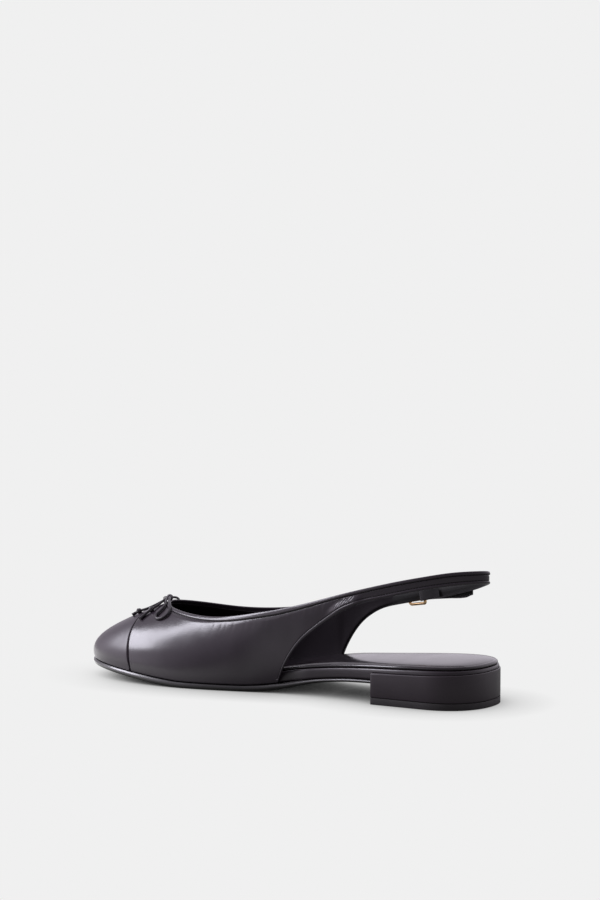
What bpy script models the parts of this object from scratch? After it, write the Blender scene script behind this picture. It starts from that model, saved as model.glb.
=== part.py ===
"""Right slingback flat: low block heel, wrapped footbed, capped toe, cord bow and a buckled heel strap.

Sizes are in millimetres, and mesh_object() turns them into metres. A place is given by three numbers:
s, the distance forward of the heel's back, y, the distance from the heel's axis towards the little toe,
and z, the height above the floor. The toe points along -X and the little toe along +Y.
"""

import math

import bmesh
import bpy
import numpy as np
from mathutils.bvhtree import BVHTree

MM = 0.001
GAP = 0.3  # clearance between pieces that meet

# Overall
LENGTH = 250.0  # back of the heel to the tip of the toe
WALL = 1.6  # upper leather with its lining

# Heel
HEEL_LENGTH = 60.2
HEEL_WIDTH = 57.2
HEEL_ROUNDNESS = 2.28  # exponent of the round back, 2 is a true half circle
HEEL_TOP_FRONT = 16.8
HEEL_TOP_BACK = 19.4
HEEL_CORNER = 1.2  # rounding of the breast's two corners
HEEL_EDGE = 0.5  # rounding of the heel's and the lift's edges
LIFT_HEIGHT = 3.8

# Sole layers. Each edge table goes from the layer's bottom to its top.
OUTSOLE_EDGE = [
    # inset, share of the height
    (1.6, 0.0),
    (0.45, 0.22),
    (0.0, 0.6),
    (0.2, 0.92),
    (0.8, 1.0),
]
FOOTBED_EDGE = [(0.6, 0.0), (0.0, 0.1), (0.0, 0.88), (0.7, 1.0)]
SOCK_EDGE = [(0.6, 0.0), (0.0, 0.3), (0.15, 0.65), (0.8, 0.92), (2.2, 1.0), (7.0, 0.91), (13.0, 0.82)]
FOOTBED_BACK = 1.0  # how far the wrapped footbed lies inside the heel at the back
OUTSOLE_MARGIN = 0.8  # the outsole stands this far outside the upper
BOARD_MARGIN = 0.7  # the outsole stands this far outside the wrapped footbed at the waist
SOCK_MARGIN = 0.9  # the footbed stands this far outside the sock
SOCK_HEIGHT = 2.2
SIDE_SPACES = 44  # facets along each side of a sole layer
QUARTER_END = {"medial": 120.5, "lateral": 112.0}  # where the quarters leave the sole

# Plan of the sole, as distances from the heel's axis
SOLE_OUTLINE = [
    # s, medial, lateral
    (33, -26.8, 26.8),
    (60, -24.9, 25.4),
    (85, -22.9, 25.8),
    (105, -23.0, 28.2),
    (125, -25.8, 32.6),
    (147, -31.2, 37.6),
    (170, -36.0, 40.3),
    (185, -37.4, 40.0),
    (200, -37.0, 36.6),
    (215, -34.9, 30.8),
    (230, -30.4, 22.2),
    (240, -24.6, 13.8),
    (247, -16.6, 4.6),
]
TOE_TIP_Y = -6.4

# Side profile of the sole
SOLE_PROFILE = [
    # s, outsole bottom, outsole top, footbed top
    (0, 10.4, 12.6, 21.4),
    (18, 10.4, 12.6, 21.1),
    (32, 10.4, 12.6, 20.6),
    (46, 10.4, 12.6, 19.8),
    (60, 10.4, 12.6, 18.9),
    (75, 9.9, 12.1, 17.8),
    (88, 8.8, 11.0, 16.7),
    (98, 7.4, 9.8, 15.6),
    (107, 5.4, 8.2, 14.4),
    (120, 2.3, 5.8, 12.0),
    (132, 0.5, 4.1, 9.4),
    (143, 0.0, 3.4, 7.6),
    (160, 0.0, 3.3, 6.6),
    (176, 0.0, 3.4, 6.6),
    (192, 1.0, 4.6, 7.6),
    (212, 3.1, 6.6, 9.4),
    (232, 5.2, 8.5, 11.3),
    (250, 6.9, 10.0, 12.9),
]

# Heel strap, from its buckle on the little toe's side, round the heel, to the big toe's side
HEEL_STRAP = [
    # s, y, lower edge, upper edge
    (45.0, 21.4, 53.1, 59.7),
    (33.0, 18.6, 56.2, 62.8),
    (19.0, 14.6, 60.3, 66.9),
    (8.4, 8.6, 64.2, 70.9),
    (3.6, 1.0, 66.3, 73.1),
    (8.0, -7.4, 67.1, 73.7),
    (19.0, -13.8, 66.5, 72.8),
    (31.0, -18.2, 64.6, 70.6),
    (44.0, -21.2, 61.4, 67.8),
    (57.0, -23.2, 57.6, 64.6),
    (69.0, -24.6, 54.2, 61.4),
]

# Rear edge of each quarter, from the strap down to the sole or back up to the strap
MEDIAL_CUT = [
    # s, y low, z low, y top, z top
    (79.0, -25.5, 50.0, -25.5, 58.6),
    (90.0, -26.4, 43.9, -26.1, 55.3),
    (98.3, -26.8, 38.3, -26.4, 52.8),
    (105.4, -27.0, 32.5, -26.6, 50.8),
    (111.5, -26.9, 25.6, -26.7, 49.2),
    (116.6, -26.0, 16.4, -26.8, 47.9),
]
LATERAL_CUT = [
    (108.6, 29.0, 16.6, 28.9, 45.6),
    (104.6, 29.1, 24.6, 28.8, 46.4),
    (97.8, 28.8, 33.8, 28.5, 48.0),
    (90.6, 28.1, 39.7, 27.9, 49.8),
    (83.0, 27.3, 43.8, 27.1, 51.8),
]

# Ribs of the vamp and quarters between the sole's edge and the topline
VAMP = [
    # side, s low, s top, y top, z top, lean, rise, slope, dip
    ("medial", 120.5, 120.6, -26.8, 46.9, 12, 13, 88, 13),
    ("medial", 133.0, 132.0, -26.5, 44.5, 10, 13, 80, 12),
    ("medial", 147.0, 145.5, -25.4, 41.8, 8, 14, 68, 12),
    ("medial", 160.0, 157.5, -24.0, 40.0, 6, 15, 56, 12),
    ("medial", 173.0, 168.5, -22.3, 39.3, 6, 15, 48, 13),
    ("medial", 186.0, 179.0, -19.8, 39.5, 6, 15, 42, 15),
    ("medial", 199.0, 188.5, -16.4, 40.2, 6, 15, 37, 17),
    ("medial", 212.0, 196.0, -12.6, 41.2, 6, 14, 32, 19),
    ("medial", 226.0, 200.4, -8.2, 42.2, 11, 13, 27, 22),
    ("medial", 239.0, 202.4, -4.6, 42.8, 18, 14, 24, 25),
    ("tip", 250.0, 203.2, -1.2, 43.0, 20, 14, 22, 27),
    ("lateral", 238.0, 202.6, 2.2, 42.9, 18, 14, 24, 25),
    ("lateral", 224.0, 200.6, 6.4, 42.4, 11, 13, 27, 22),
    ("lateral", 210.0, 196.4, 11.4, 41.6, 6, 14, 32, 19),
    ("lateral", 197.0, 189.4, 16.4, 40.5, 6, 15, 37, 17),
    ("lateral", 184.0, 180.0, 20.8, 39.3, 6, 15, 42, 15),
    ("lateral", 170.0, 169.0, 24.4, 38.6, 6, 15, 48, 13),
    ("lateral", 155.0, 156.0, 26.9, 38.9, 6, 14, 57, 12),
    ("lateral", 140.0, 141.5, 28.4, 40.3, 8, 13, 68, 12),
    ("lateral", 126.0, 127.0, 29.0, 42.4, 9, 12, 80, 12),
    ("lateral", 112.0, 113.0, 29.0, 44.8, 8, 11, 88, 12),
]

# Strap of the little toe's quarter: under the buckle's front rim, over its bar, and on to its free tip
BUCKLE_STRAP = [
    # s, y, lower edge, upper edge
    (75.0, 26.4, 46.3, 53.6),
    (65.4, 25.3, 48.6, 55.4),
    (59.0, 25.3, 50.1, 56.8),
    (53.0, 25.5, 51.2, 57.8),
    (45.0, 23.9, 52.4, 59.0),
    (36.0, 21.8, 53.6, 60.0),
    (27.0, 19.6, 54.9, 60.9),
    (21.6, 17.8, 56.6, 60.4),
]

CUT_BULGE = 0.035  # outward bulge of the ribs at the quarters' rear edges, as a share of their height
RIB_COUNTS = [14, 26, 8, 58, 7, 18]  # fold, heel strap, medial cut, vamp, lateral cut, buckle strap
RIB_POINTS = 11
FEATHER_SPACES = 300  # fine spaces along each side of the line where the upper meets the sole

# Buckle: the bar sits in the fold of the heel strap, the front rim lies over the other strap
BAR = (53.0, 20.2, 54.5)
RIM = (66.4, 26.7, 51.9)
BUCKLE_WIRE = 0.85  # radius
BUCKLE_HALF_WIDTH = 4.8  # middle of the strap to the middle of a side rail
BAR_CORNER = 0.9
RIM_CORNER = 2.6
FOLD_RETURN = 10.0  # how far the folded end runs back behind the bar
PRONG_WIRE = 0.65  # radius
PRONG_PATH = [
    # forward of the bar, out from the bar
    (1.6, 3.0),
    (1.8, 4.4),
    (2.5, 5.9),
    (4.7, 6.0),
    (12.2, 2.6),
    (16.0, 1.8),
]
PRONG_HOLE = 1.3  # radius of the hole in the buckle strap
PRONG_SLOT = 1.05  # half height of the slot in the fold

# Bow of thin leather cord on the throat. Its cords lie on the vamp, and lift is from there to their middle.
CORD = 1.05  # radius
BOW_KNOT = (205.4, -1.0, 2.3)  # s, y, lift
BOW_KNOT_SIZE = (2.4, 2.5, 1.9)  # half length, half width, half height
MEDIAL_LOOP = [
    # s, y, lift
    (205.2, -4.8, 2.1),
    (203.2, -8.5, 1.6),
    (202.0, -13.0, 1.5),
    (202.5, -16.8, 1.5),
    (203.0, -19.4, 1.5),
    (201.4, -21.4, 1.5),
    (198.0, -21.8, 1.5),
    (195.6, -20.0, 1.5),
    (195.8, -16.4, 1.5),
    (198.2, -12.2, 1.6),
    (201.0, -8.6, 1.8),
    (202.8, -5.3, 2.2),
]
LATERAL_LOOP = [
    (207.0, 2.4, 3.2),
    (209.6, 4.0, 4.1),
    (212.6, 6.8, 4.2),
    (214.2, 11.0, 2.8),
    (212.4, 15.2, 1.6),
    (208.4, 15.4, 1.5),
    (205.6, 9.8, 1.7),
    (204.0, 3.1, 2.2),
]
MEDIAL_TAIL = [
    # s, y, lift, radius
    (207.9, -3.9, 1.9, 1.05),
    (207.2, -8.6, 1.5, 1.05),
    (208.0, -13.0, 1.5, 1.05),
    (210.0, -16.2, 1.6, 1.05),
    (211.4, -18.2, 2.1, 1.6),
    (212.5, -19.8, 2.1, 1.6),
    (213.8, -21.8, 1.4, 0.7),
]
LATERAL_TAIL = [
    (208.9, -1.6, 1.8, 1.05),
    (211.8, -5.0, 1.5, 1.05),
    (214.2, -8.2, 1.5, 1.05),
    (216.6, -9.6, 1.6, 1.05),
    (218.8, -10.2, 2.1, 1.6),
    (220.6, -10.7, 2.1, 1.6),
    (223.2, -12.4, 1.4, 0.7),
]
BALL_POINTS = 10

COLOURS = {
    "leather": ((0.022, 0.020, 0.022), 0.38, 0.0),
    "lining": ((0.020, 0.018, 0.019), 0.45, 0.0),
    "edge": ((0.016, 0.015, 0.016), 0.35, 0.0),
    "rubber": ((0.025, 0.024, 0.025), 0.6, 0.0),
    "gold": ((0.83, 0.58, 0.28), 0.25, 1.0),
}


# Curves


def spline(knots, values, at, closed=False):
    """A smooth cubic through values at knots. A closed one repeats its first value at its last knot."""
    knots, at = np.asarray(knots, float), np.asarray(at, float)
    values = np.asarray(values, float).reshape(len(knots), -1)
    count, step = len(knots), np.diff(knots)
    rise = np.diff(values, axis=0) / step[:, None]
    system, wanted = np.eye(count), np.zeros_like(values)
    for i in range(1, count - 1):
        system[i, i - 1 : i + 2] = step[i - 1], 2 * (step[i - 1] + step[i]), step[i]
        wanted[i] = 6 * (rise[i] - rise[i - 1])
    if closed:
        system[0, [0, 1, -2]] = 2 * (step[-1] + step[0]), step[0], step[-1]
        wanted[0] = 6 * (rise[0] - rise[-1])
        system[-1, [0, -1]] = 1, -1
    bend = np.linalg.solve(system, wanted)
    i = np.clip(np.searchsorted(knots, at, side="right") - 1, 0, count - 2)
    after, before = (at - knots[i])[:, None], (knots[i + 1] - at)[:, None]
    width = step[i][:, None]
    return (
        (bend[i] * before**3 + bend[i + 1] * after**3) / (6 * width)
        + (values[i] / width - bend[i] * width / 6) * before
        + (values[i + 1] / width - bend[i + 1] * width / 6) * after
    )


def profile(table, column, at):
    """A column of a table over its first column, with no overshoot, so level rows stay level."""
    x = np.array([row[0] for row in table], float)
    y = np.array([row[column] for row in table], float)
    slope = np.diff(y) / np.diff(x)
    tangent = np.concatenate([slope[:1], np.zeros(len(x) - 2), slope[-1:]])
    same = slope[1:] * slope[:-1] > 0
    tangent[1:-1][same] = (2 * slope[1:] * slope[:-1] / (slope[1:] + slope[:-1] + 1e-12))[same]
    at = np.clip(np.asarray(at, float), x[0], x[-1])
    i = np.clip(np.searchsorted(x, at, side="right") - 1, 0, len(x) - 2)
    width = x[i + 1] - x[i]
    t = (at - x[i]) / width
    return (
        y[i] * (1 + 2 * t) * (1 - t) ** 2
        + tangent[i] * width * t * (1 - t) ** 2
        + y[i + 1] * t * t * (3 - 2 * t)
        + tangent[i + 1] * width * t * t * (t - 1)
    )


def chords(points):
    """Distance along a row of points, starting at 0."""
    return np.concatenate([[0], np.cumsum(np.linalg.norm(np.diff(points, axis=0), axis=1))])


def smooth_step(x, low, high):
    t = np.clip((x - low) / (high - low), 0, 1)
    return t * t * (3 - 2 * t)


# Sole


def heel_arc(width, back, angles):
    """The round back of a heel, as rows of s and y, at angles from its middle."""
    radius = width / 2
    c, s = np.cos(angles), np.sin(angles)
    power = 2 / HEEL_ROUNDNESS
    return np.stack(
        [back + radius - radius * np.abs(c) ** power, radius * np.sign(s) * np.abs(s) ** power], -1
    )


def sole_outline(count, start=None):
    """Plan of the sole with count spaces a side: medial side to the toe tip and back on the lateral side.

    It begins at the middle of the heel's back, or at a straight cut across the sole at s = start.
    """
    width = SOLE_OUTLINE[0][2] * 2
    heel = heel_arc(width, FOOTBED_BACK, np.radians([-68, -46, -22, 0, 22, 46, 68]))
    medial = [(s, m) for s, m, _ in SOLE_OUTLINE]
    lateral = [(s, y) for s, _, y in reversed(SOLE_OUTLINE)]
    ring = np.array([*heel[3::-1], *medial, (LENGTH, TOE_TIP_Y), *lateral, *heel[:2:-1]])
    along = chords(ring)
    first, tip, last = 0.0, along[4 + len(medial)], along[-1]
    if start is not None:
        dense = np.linspace(0, along[-1], 2000)
        place = spline(along, ring, dense, closed=True)[:, 0]
        first = dense[np.argmax(place > start)]
        last = dense[len(dense) - 1 - np.argmax(place[::-1] > start)]
    steps = np.linspace(0, 1, count + 1)
    even = 0.6 * steps + 0.4 * (1 - np.cos(steps * math.pi)) / 2
    at = np.concatenate([first + even * (tip - first), tip + even[1:] * (last - tip)])
    plan = spline(along, ring, at, closed=True)
    return plan[:-1] if start is None else plan


def inset(ring, distance, closed=True):
    """A ring of plan points moved inwards along its own normals."""
    if closed:
        run = np.roll(ring, -1, axis=0) - np.roll(ring, 1, axis=0)
    else:
        run = np.gradient(ring, axis=0)
    run /= np.linalg.norm(run, axis=1)[:, None]
    inward = np.stack([-run[:, 1], run[:, 0]], -1)
    return ring + inward * np.broadcast_to(distance, len(ring))[:, None]


def middle_y():
    """Middle of the sole's width, which lies on the shoe's own middle plane."""
    sides = sole_outline(120)[:, 1]
    return (sides.min() + sides.max()) / 2


def outsole_bottom(s):
    return profile(SOLE_PROFILE, 1, s)


def outsole_top(s):
    return profile(SOLE_PROFILE, 2, s)


def footbed_top(s):
    return profile(SOLE_PROFILE, 3, s)


def heel_top(s):
    return HEEL_TOP_BACK + (HEEL_TOP_FRONT - HEEL_TOP_BACK) * s / HEEL_LENGTH


def forefoot_margin(ring, back, front):
    """An inset for each plan point: back behind the quarters, front where the upper surrounds it."""
    end = np.where(ring[:, 1] < 0, QUARTER_END["medial"], QUARTER_END["lateral"])
    return back + (front - back) * smooth_step(ring[:, 0], end - 17, end - 5)


# Meshes


def material(name):
    made = bpy.data.materials.get(name) or bpy.data.materials.new(name)
    colour, roughness, metallic = COLOURS[name]
    made.use_nodes = True
    shader = made.node_tree.nodes["Principled BSDF"]
    shader.inputs["Base Color"].default_value = (*colour, 1)
    shader.inputs["Roughness"].default_value = roughness
    shader.inputs["Metallic"].default_value = metallic
    return made


def mesh_object(name, points, faces, finish=None, sheet=False):
    """An object from points in s, y, z millimetres. A sheet keeps the way its faces point."""
    points = np.asarray(points, float)
    world = np.stack([LENGTH / 2 - points[:, 0], points[:, 1] - middle_y(), points[:, 2]], -1) * MM
    mesh = bpy.data.meshes.new(name)
    mesh.from_pydata(world.tolist(), [], [tuple(int(i) for i in face) for face in faces])
    if not sheet:
        shape = bmesh.new()
        shape.from_mesh(mesh)
        bmesh.ops.recalc_face_normals(shape, faces=shape.faces)
        shape.to_mesh(mesh)
        shape.free()
    mesh.shade_smooth()
    mesh.set_sharp_from_angle(angle=math.radians(40))
    made = bpy.data.objects.new(name, mesh)
    if finish:
        mesh.materials.append(material(finish))
    bpy.context.scene.collection.objects.link(made)
    return made


def stack(name, rings, caps, finish):
    """A closed solid from rings of equal length, one above the other, with the faces across its ends."""
    count = len(rings[0])
    faces = [
        (a + i, a + (i + 1) % count, a + count + (i + 1) % count, a + count + i)
        for a in range(0, count * (len(rings) - 1), count)
        for i in range(count)
    ]
    last = (len(rings) - 1) * count
    faces += caps
    faces += [tuple(last + i for i in face) for face in caps]
    return mesh_object(name, np.concatenate(rings), faces, finish)


def ladder(count, heel_point, toe_point):
    """Faces across a ring of count points, in pairs from its first and last points to its middle."""
    pairs = [(i, count - 1 - i) for i in range(count // 2)]
    if heel_point:
        pairs = [(i, count - i) for i in range(1, (count + 1) // 2)]
    faces = [(a, b, d, c) for (a, c), (b, d) in zip(pairs, pairs[1:])]
    if heel_point:
        faces.append((0, *pairs[0]))
    if toe_point:
        faces.append((pairs[-1][0], pairs[-1][0] + 1, pairs[-1][1]))
    return faces


def slab(name, plan, edge, bottom, top, finish, closed=True):
    """A sole layer: the plan inset by each row of its edge, at that share of its height."""
    rings = []
    for margin, share in edge:
        ring = inset(plan, margin, closed)
        s = ring[:, 0]
        rings.append(np.column_stack([ring, bottom(s) + (top(s) - bottom(s)) * share]))
    return stack(name, rings, ladder(len(plan), closed, True), finish)


def cut(target, cutter):
    """Takes the cutter's shape out of the target and leaves the cutter as a guide."""
    cutter.hide_render = True
    cutter.display_type = "WIRE"
    change = target.modifiers.new("cut_" + cutter.name, "BOOLEAN")
    change.operation = "DIFFERENCE"
    change.solver = "EXACT"
    change.object = cutter


def block(name, low, high, slope=0.0):
    """A box between two corners in s, y, z, its top rising by slope for each millimetre backwards."""
    plan = [(low[0], low[1]), (low[0], high[1]), (high[0], high[1]), (high[0], low[1])]
    bottom = [(s, y, low[2]) for s, y in plan]
    top = [(s, y, high[2] + slope * (high[0] - s)) for s, y in plan]
    sides = [(i, (i + 1) % 4, (i + 1) % 4 + 4, i + 4) for i in range(4)]
    return mesh_object(name, bottom + top, [*sides, (3, 2, 1, 0), (4, 5, 6, 7)])


def tube(name, path, radius, finish, closed=False, sides=8):
    """A round wire along a path of points, with one radius or one for each point."""
    path = np.asarray(path, float)
    count = len(path)
    radii = np.broadcast_to(radius, count)
    if closed:
        run = np.roll(path, -1, axis=0) - np.roll(path, 1, axis=0)
    else:
        run = np.gradient(path, axis=0)
    run /= np.linalg.norm(run, axis=1)[:, None]
    side = np.cross(run[0], (0.3, 0.5, 0.81))
    rings = []
    turn = np.arange(sides) * 2 * math.pi / sides
    for place, ahead, reach in zip(path, run, radii):
        side = side - ahead * (side @ ahead)
        side /= np.linalg.norm(side)
        up = np.cross(ahead, side)
        rings.append(place + reach * (np.outer(np.cos(turn), side) + np.outer(np.sin(turn), up)))
    if closed:
        # the last ring is numbered so that it meets the first one without a twist
        start = np.argmin(np.linalg.norm(rings[0] - rings[-1][0], axis=1))
        turned = [(i + start) % sides for i in range(sides)]
    points = np.concatenate(rings)
    faces = [
        (a + i, a + (i + 1) % sides, a + sides + (i + 1) % sides, a + sides + i)
        for a in range(0, sides * (count - 1), sides)
        for i in range(sides)
    ]
    last = sides * (count - 1)
    if closed:
        faces += [
            (last + i, last + (i + 1) % sides, turned[(i + 1) % sides], turned[i]) for i in range(sides)
        ]
    else:
        faces += [tuple(range(sides)), tuple(last + i for i in range(sides))]
    return mesh_object(name, points, faces, finish)


# Pieces


def heel_plan(count):
    """Plan of the heel: back middle, medial side to the breast, then the lateral side."""
    half = HEEL_WIDTH / 2
    round_back = heel_arc(HEEL_WIDTH, 0, np.linspace(0, -math.pi / 2, count))
    breast = [
        (HEEL_LENGTH - HEEL_CORNER, -half),
        (HEEL_LENGTH - HEEL_CORNER * 0.3, HEEL_CORNER * 0.3 - half),
        (HEEL_LENGTH, HEEL_CORNER - half),
    ]
    side = np.array([*round_back, *breast])
    return np.concatenate([side, (side * (1, -1))[:0:-1]])


def heel_layer(name, bottom, top, finish):
    """A layer of the heel with rounded edges, between two heights that are functions of s."""
    plan = heel_plan(16)
    rings = []
    for margin, height, lift in (
        (HEEL_EDGE, bottom, 0),
        (0, bottom, HEEL_EDGE),
        (0, top, -HEEL_EDGE),
        (HEEL_EDGE, top, 0),
    ):
        ring = inset(plan, margin)
        rings.append(np.column_stack([ring, height(ring[:, 0]) + lift]))
    stack(name, rings, ladder(len(plan), True, False), finish)


def make_heel():
    heel_layer("top_lift", lambda s: 0 * s, lambda s: 0 * s + LIFT_HEIGHT - GAP, "rubber")
    heel_layer("heel_block", lambda s: 0 * s + LIFT_HEIGHT, heel_top, "leather")


def make_outsole():
    plan = sole_outline(SIDE_SPACES, HEEL_LENGTH + GAP)
    slab("outsole", plan, OUTSOLE_EDGE, outsole_bottom, outsole_top, "edge", closed=False)


def make_footbed():
    plan = sole_outline(SIDE_SPACES)
    plan = inset(plan, forefoot_margin(plan, BOARD_MARGIN, OUTSOLE_MARGIN + WALL + 2 * GAP))
    footbed = slab("footbed", plan, FOOTBED_EDGE, lambda s: outsole_top(s) + GAP, footbed_top, "leather")
    reach = HEEL_LENGTH + GAP
    slope = (HEEL_TOP_BACK - HEEL_TOP_FRONT) / HEEL_LENGTH
    low, high = (-GAP, -HEEL_WIDTH, 0), (reach, HEEL_WIDTH, heel_top(reach) + GAP)
    cut(footbed, block("heel_seat", low, high, slope))


def make_sock():
    plan = sole_outline(SIDE_SPACES)
    plan = inset(plan, forefoot_margin(plan, BOARD_MARGIN + SOCK_MARGIN, OUTSOLE_MARGIN + WALL + 4 * GAP))
    bottom = lambda s: footbed_top(s) + GAP
    slab("sock", plan, SOCK_EDGE, bottom, lambda s: bottom(s) + SOCK_HEIGHT, "lining")


def straight_rib(low, top, outward=0.0):
    """Control points of a rib between two edges, with a slight bulge sideways."""
    low, top = np.array(low, float), np.array(top, float)
    third = (top - low) / 3
    bulge = np.array([0, outward * np.linalg.norm(top - low) * CUT_BULGE, 0])
    return [low, low + third + bulge, top - third + bulge, top]


def fold_ribs():
    """Ribs of the heel strap's end: forwards on the inside, round the buckle's bar, then back outside."""
    bar, _, up, _ = buckle_axes()
    radius = BUCKLE_WIRE + GAP + WALL
    tilt = (HEEL_STRAP[0][2] - HEEL_STRAP[1][2]) / (HEEL_STRAP[0][0] - HEEL_STRAP[1][0])
    half = (HEEL_STRAP[0][3] - HEEL_STRAP[0][2]) / 2 * up / np.linalg.norm((1, tilt))
    path = [(-FOLD_RETURN, -radius + GAP / 2), (-FOLD_RETURN / 2, -radius + GAP / 2)]
    path += [(radius * math.cos(a), radius * math.sin(a)) for a in np.radians(np.arange(-90, 91, 30))]
    middles = [bar + (forward, across, tilt * forward) for forward, across in path]
    return [straight_rib(middle - half, middle + half) for middle in middles]


def upper_surface():
    """Grid of points on the outside of the upper, one row for each rib, from lower to upper edge."""
    plan = inset(sole_outline(FEATHER_SPACES), OUTSOLE_MARGIN)
    run = np.gradient(plan, axis=0)
    outward = np.stack([run[:, 1], -run[:, 0]], -1) / np.linalg.norm(run, axis=1)[:, None]
    tip = FEATHER_SPACES
    rows = fold_ribs()
    fold = len(rows) - 1
    rows += [straight_rib((s, y, a), (s, y, b)) for s, y, a, b in HEEL_STRAP]
    strap = len(rows) - 1
    rows += [straight_rib((s, y, a), (s, v, b), -1) for s, y, a, v, b in MEDIAL_CUT]
    first = len(rows)
    feather = []
    for side, s_low, s_top, y_top, z_top, lean, rise, slope, dip in VAMP:
        if side == "medial":
            place = np.interp(s_low, plan[:tip, 0], np.arange(tip))
        elif side == "lateral":
            place = np.interp(-s_low, -plan[tip:, 0], np.arange(tip, len(plan)))
        else:
            place = tip
        feather.append(place)
        spot = plan[int(round(place))]
        out = np.array([*outward[int(round(place))], 0])
        low = np.array([*spot, outsole_top(spot[0]) + GAP])
        top = np.array([s_top, y_top, z_top])
        lean, slope = math.radians(lean), math.radians(slope)
        a = low + rise * (out * math.sin(lean) + np.array([0, 0, math.cos(lean)]))
        b = top + dip * (out * math.cos(slope) - np.array([0, 0, math.sin(slope)]))
        rows.append([low, a, b, top])
    end = len(rows) - 1
    rows += [straight_rib((s, y, a), (s, v, b), 1) for s, y, a, v, b in LATERAL_CUT]
    turn = len(rows) - 1
    rows += [straight_rib((s, y, a), (s, y, b)) for s, y, a, b in BUCKLE_STRAP]
    rows = np.array(rows)
    along = chords(rows.mean(axis=1))
    marks = [0, fold, strap, first, end, turn, len(rows) - 1]
    at = [np.linspace(along[a], along[b], n, endpoint=False) for a, b, n in zip(marks, marks[1:], RIB_COUNTS)]
    at = np.concatenate([*at, along[-1:]])
    handles = spline(along, rows[:, 1:].reshape(len(rows), 9), at).reshape(-1, 3, 3)
    low = np.empty((len(at), 3))
    before, after = at < along[first], at > along[end]
    on_sole = ~before & ~after
    low[before] = spline(along[: first + 1], rows[: first + 1, 0], at[before])
    low[after] = spline(along[end:], rows[end:, 0], at[after])
    steps = np.column_stack([along[first : end + 1], feather])
    place = profile(steps, 1, at[on_sole])
    for axis in range(2):
        low[on_sole, axis] = np.interp(place, np.arange(len(plan)), plan[:, axis])
    low[on_sole, 2] = outsole_top(low[on_sole, 0]) + GAP
    t = np.linspace(0, 1, RIB_POINTS)[None, :, None]
    a, b, top = handles[:, None, 0], handles[:, None, 1], handles[:, None, 2]
    return low[:, None] * (1 - t) ** 3 + 3 * a * t * (1 - t) ** 2 + 3 * b * t * t * (1 - t) + top * t**3


def grid_faces(grid):
    """Faces of a grid of points, pointing to the outside of the shoe."""
    rows, count = grid.shape[:2]
    return [
        (i * count + j, i * count + j + 1, (i + 1) * count + j + 1, (i + 1) * count + j)
        for i in range(rows - 1)
        for j in range(count - 1)
    ]


def make_upper(grid):
    upper = mesh_object("upper", grid.reshape(-1, 3), grid_faces(grid), "leather", sheet=True)
    wall = upper.modifiers.new("wall", "SOLIDIFY")
    wall.thickness = WALL * MM
    wall.offset = -1
    wall.use_quality_normals = True
    return upper


def buckle_axes():
    """Directions from the buckle's bar to its rim, and up across the strap."""
    bar, rim = np.array(BAR), np.array(RIM)
    forward = rim - bar
    length = np.linalg.norm(forward)
    forward /= length
    up = np.array([0, 0, 1]) - forward * forward[2]
    return bar, forward, up / np.linalg.norm(up), length


def make_buckle(upper):
    bar, forward, up, length = buckle_axes()
    path = []
    for along, side, radius, begin in (
        (0, -1, BAR_CORNER, 270),
        (0, 1, BAR_CORNER, 180),
        (length, 1, RIM_CORNER, 90),
        (length, -1, RIM_CORNER, 0),
    ):
        inner = np.array([along + (radius if along == 0 else -radius), side * (BUCKLE_HALF_WIDTH - radius)])
        for turn in np.radians(np.linspace(begin, begin - 90, 5)):
            u, v = inner + radius * np.array([math.cos(turn), math.sin(turn)])
            path.append(bar + forward * u + up * v)
    tube("buckle_frame", path, BUCKLE_WIRE, "gold", closed=True)
    out = np.cross(forward, up)
    out *= np.sign(out[1])
    reach = BUCKLE_WIRE + GAP + PRONG_WIRE
    hook = [
        bar + reach * (math.cos(turn) * forward + math.sin(turn) * out)
        for turn in np.radians(np.arange(-40, -271, -30))
    ]
    points = np.array(hook + [bar + forward * u + out * v for u, v in PRONG_PATH])
    along = chords(points)
    tube("buckle_prong", spline(along, points, np.linspace(0, along[-1], 26)), PRONG_WIRE, "gold", sides=6)
    radius = BUCKLE_WIRE + WALL + 2 * GAP
    low = bar - (radius, radius, PRONG_SLOT)
    high = bar + (radius, radius, PRONG_SLOT)
    cut(upper, block("prong_slot", low, high))
    start = bar + forward * PRONG_PATH[0][0] + out * PRONG_PATH[0][1]
    cut(upper, tube("prong_hole", [start, start + out * 3 * WALL], PRONG_HOLE, None, sides=10))


def vamp_ray(grid):
    """A function that gives the height of the vamp's outside at s, y."""
    tree = BVHTree.FromPolygons(grid.reshape(-1, 3).tolist(), grid_faces(grid))

    def height(s, y):
        spot = tree.ray_cast((s, y, LENGTH), (0, 0, -1))[0]
        return spot.z

    return height


def make_bow(grid):
    height = vamp_ray(grid)
    s, y, lift = BOW_KNOT
    centre = np.array([s, y, height(s, y) + lift])
    rings = []
    for turn in np.radians(np.linspace(-75, 75, 6)):
        around = np.arange(BALL_POINTS) * 2 * math.pi / BALL_POINTS
        ball = np.column_stack([
            math.cos(turn) * np.cos(around),
            math.cos(turn) * np.sin(around),
            np.full(BALL_POINTS, math.sin(turn)),
        ])
        rings.append(centre + ball * BOW_KNOT_SIZE)
    stack("bow_knot", rings, ladder(BALL_POINTS, False, False), "leather")
    for name, rows, points in (
        ("bow_loop_medial", MEDIAL_LOOP, 34),
        ("bow_loop_lateral", LATERAL_LOOP, 30),
        ("bow_tail_medial", MEDIAL_TAIL, 18),
        ("bow_tail_lateral", LATERAL_TAIL, 18),
    ):
        path = np.array([(row[0], row[1], height(row[0], row[1]) + row[2]) for row in rows])
        along = chords(path)
        at = np.linspace(0, along[-1], points)
        radius = CORD
        if len(rows[0]) == 4:
            radius = np.interp(at, along, [row[3] for row in rows])
        tube(name, spline(along, path, at), radius, "leather", sides=6)


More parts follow.
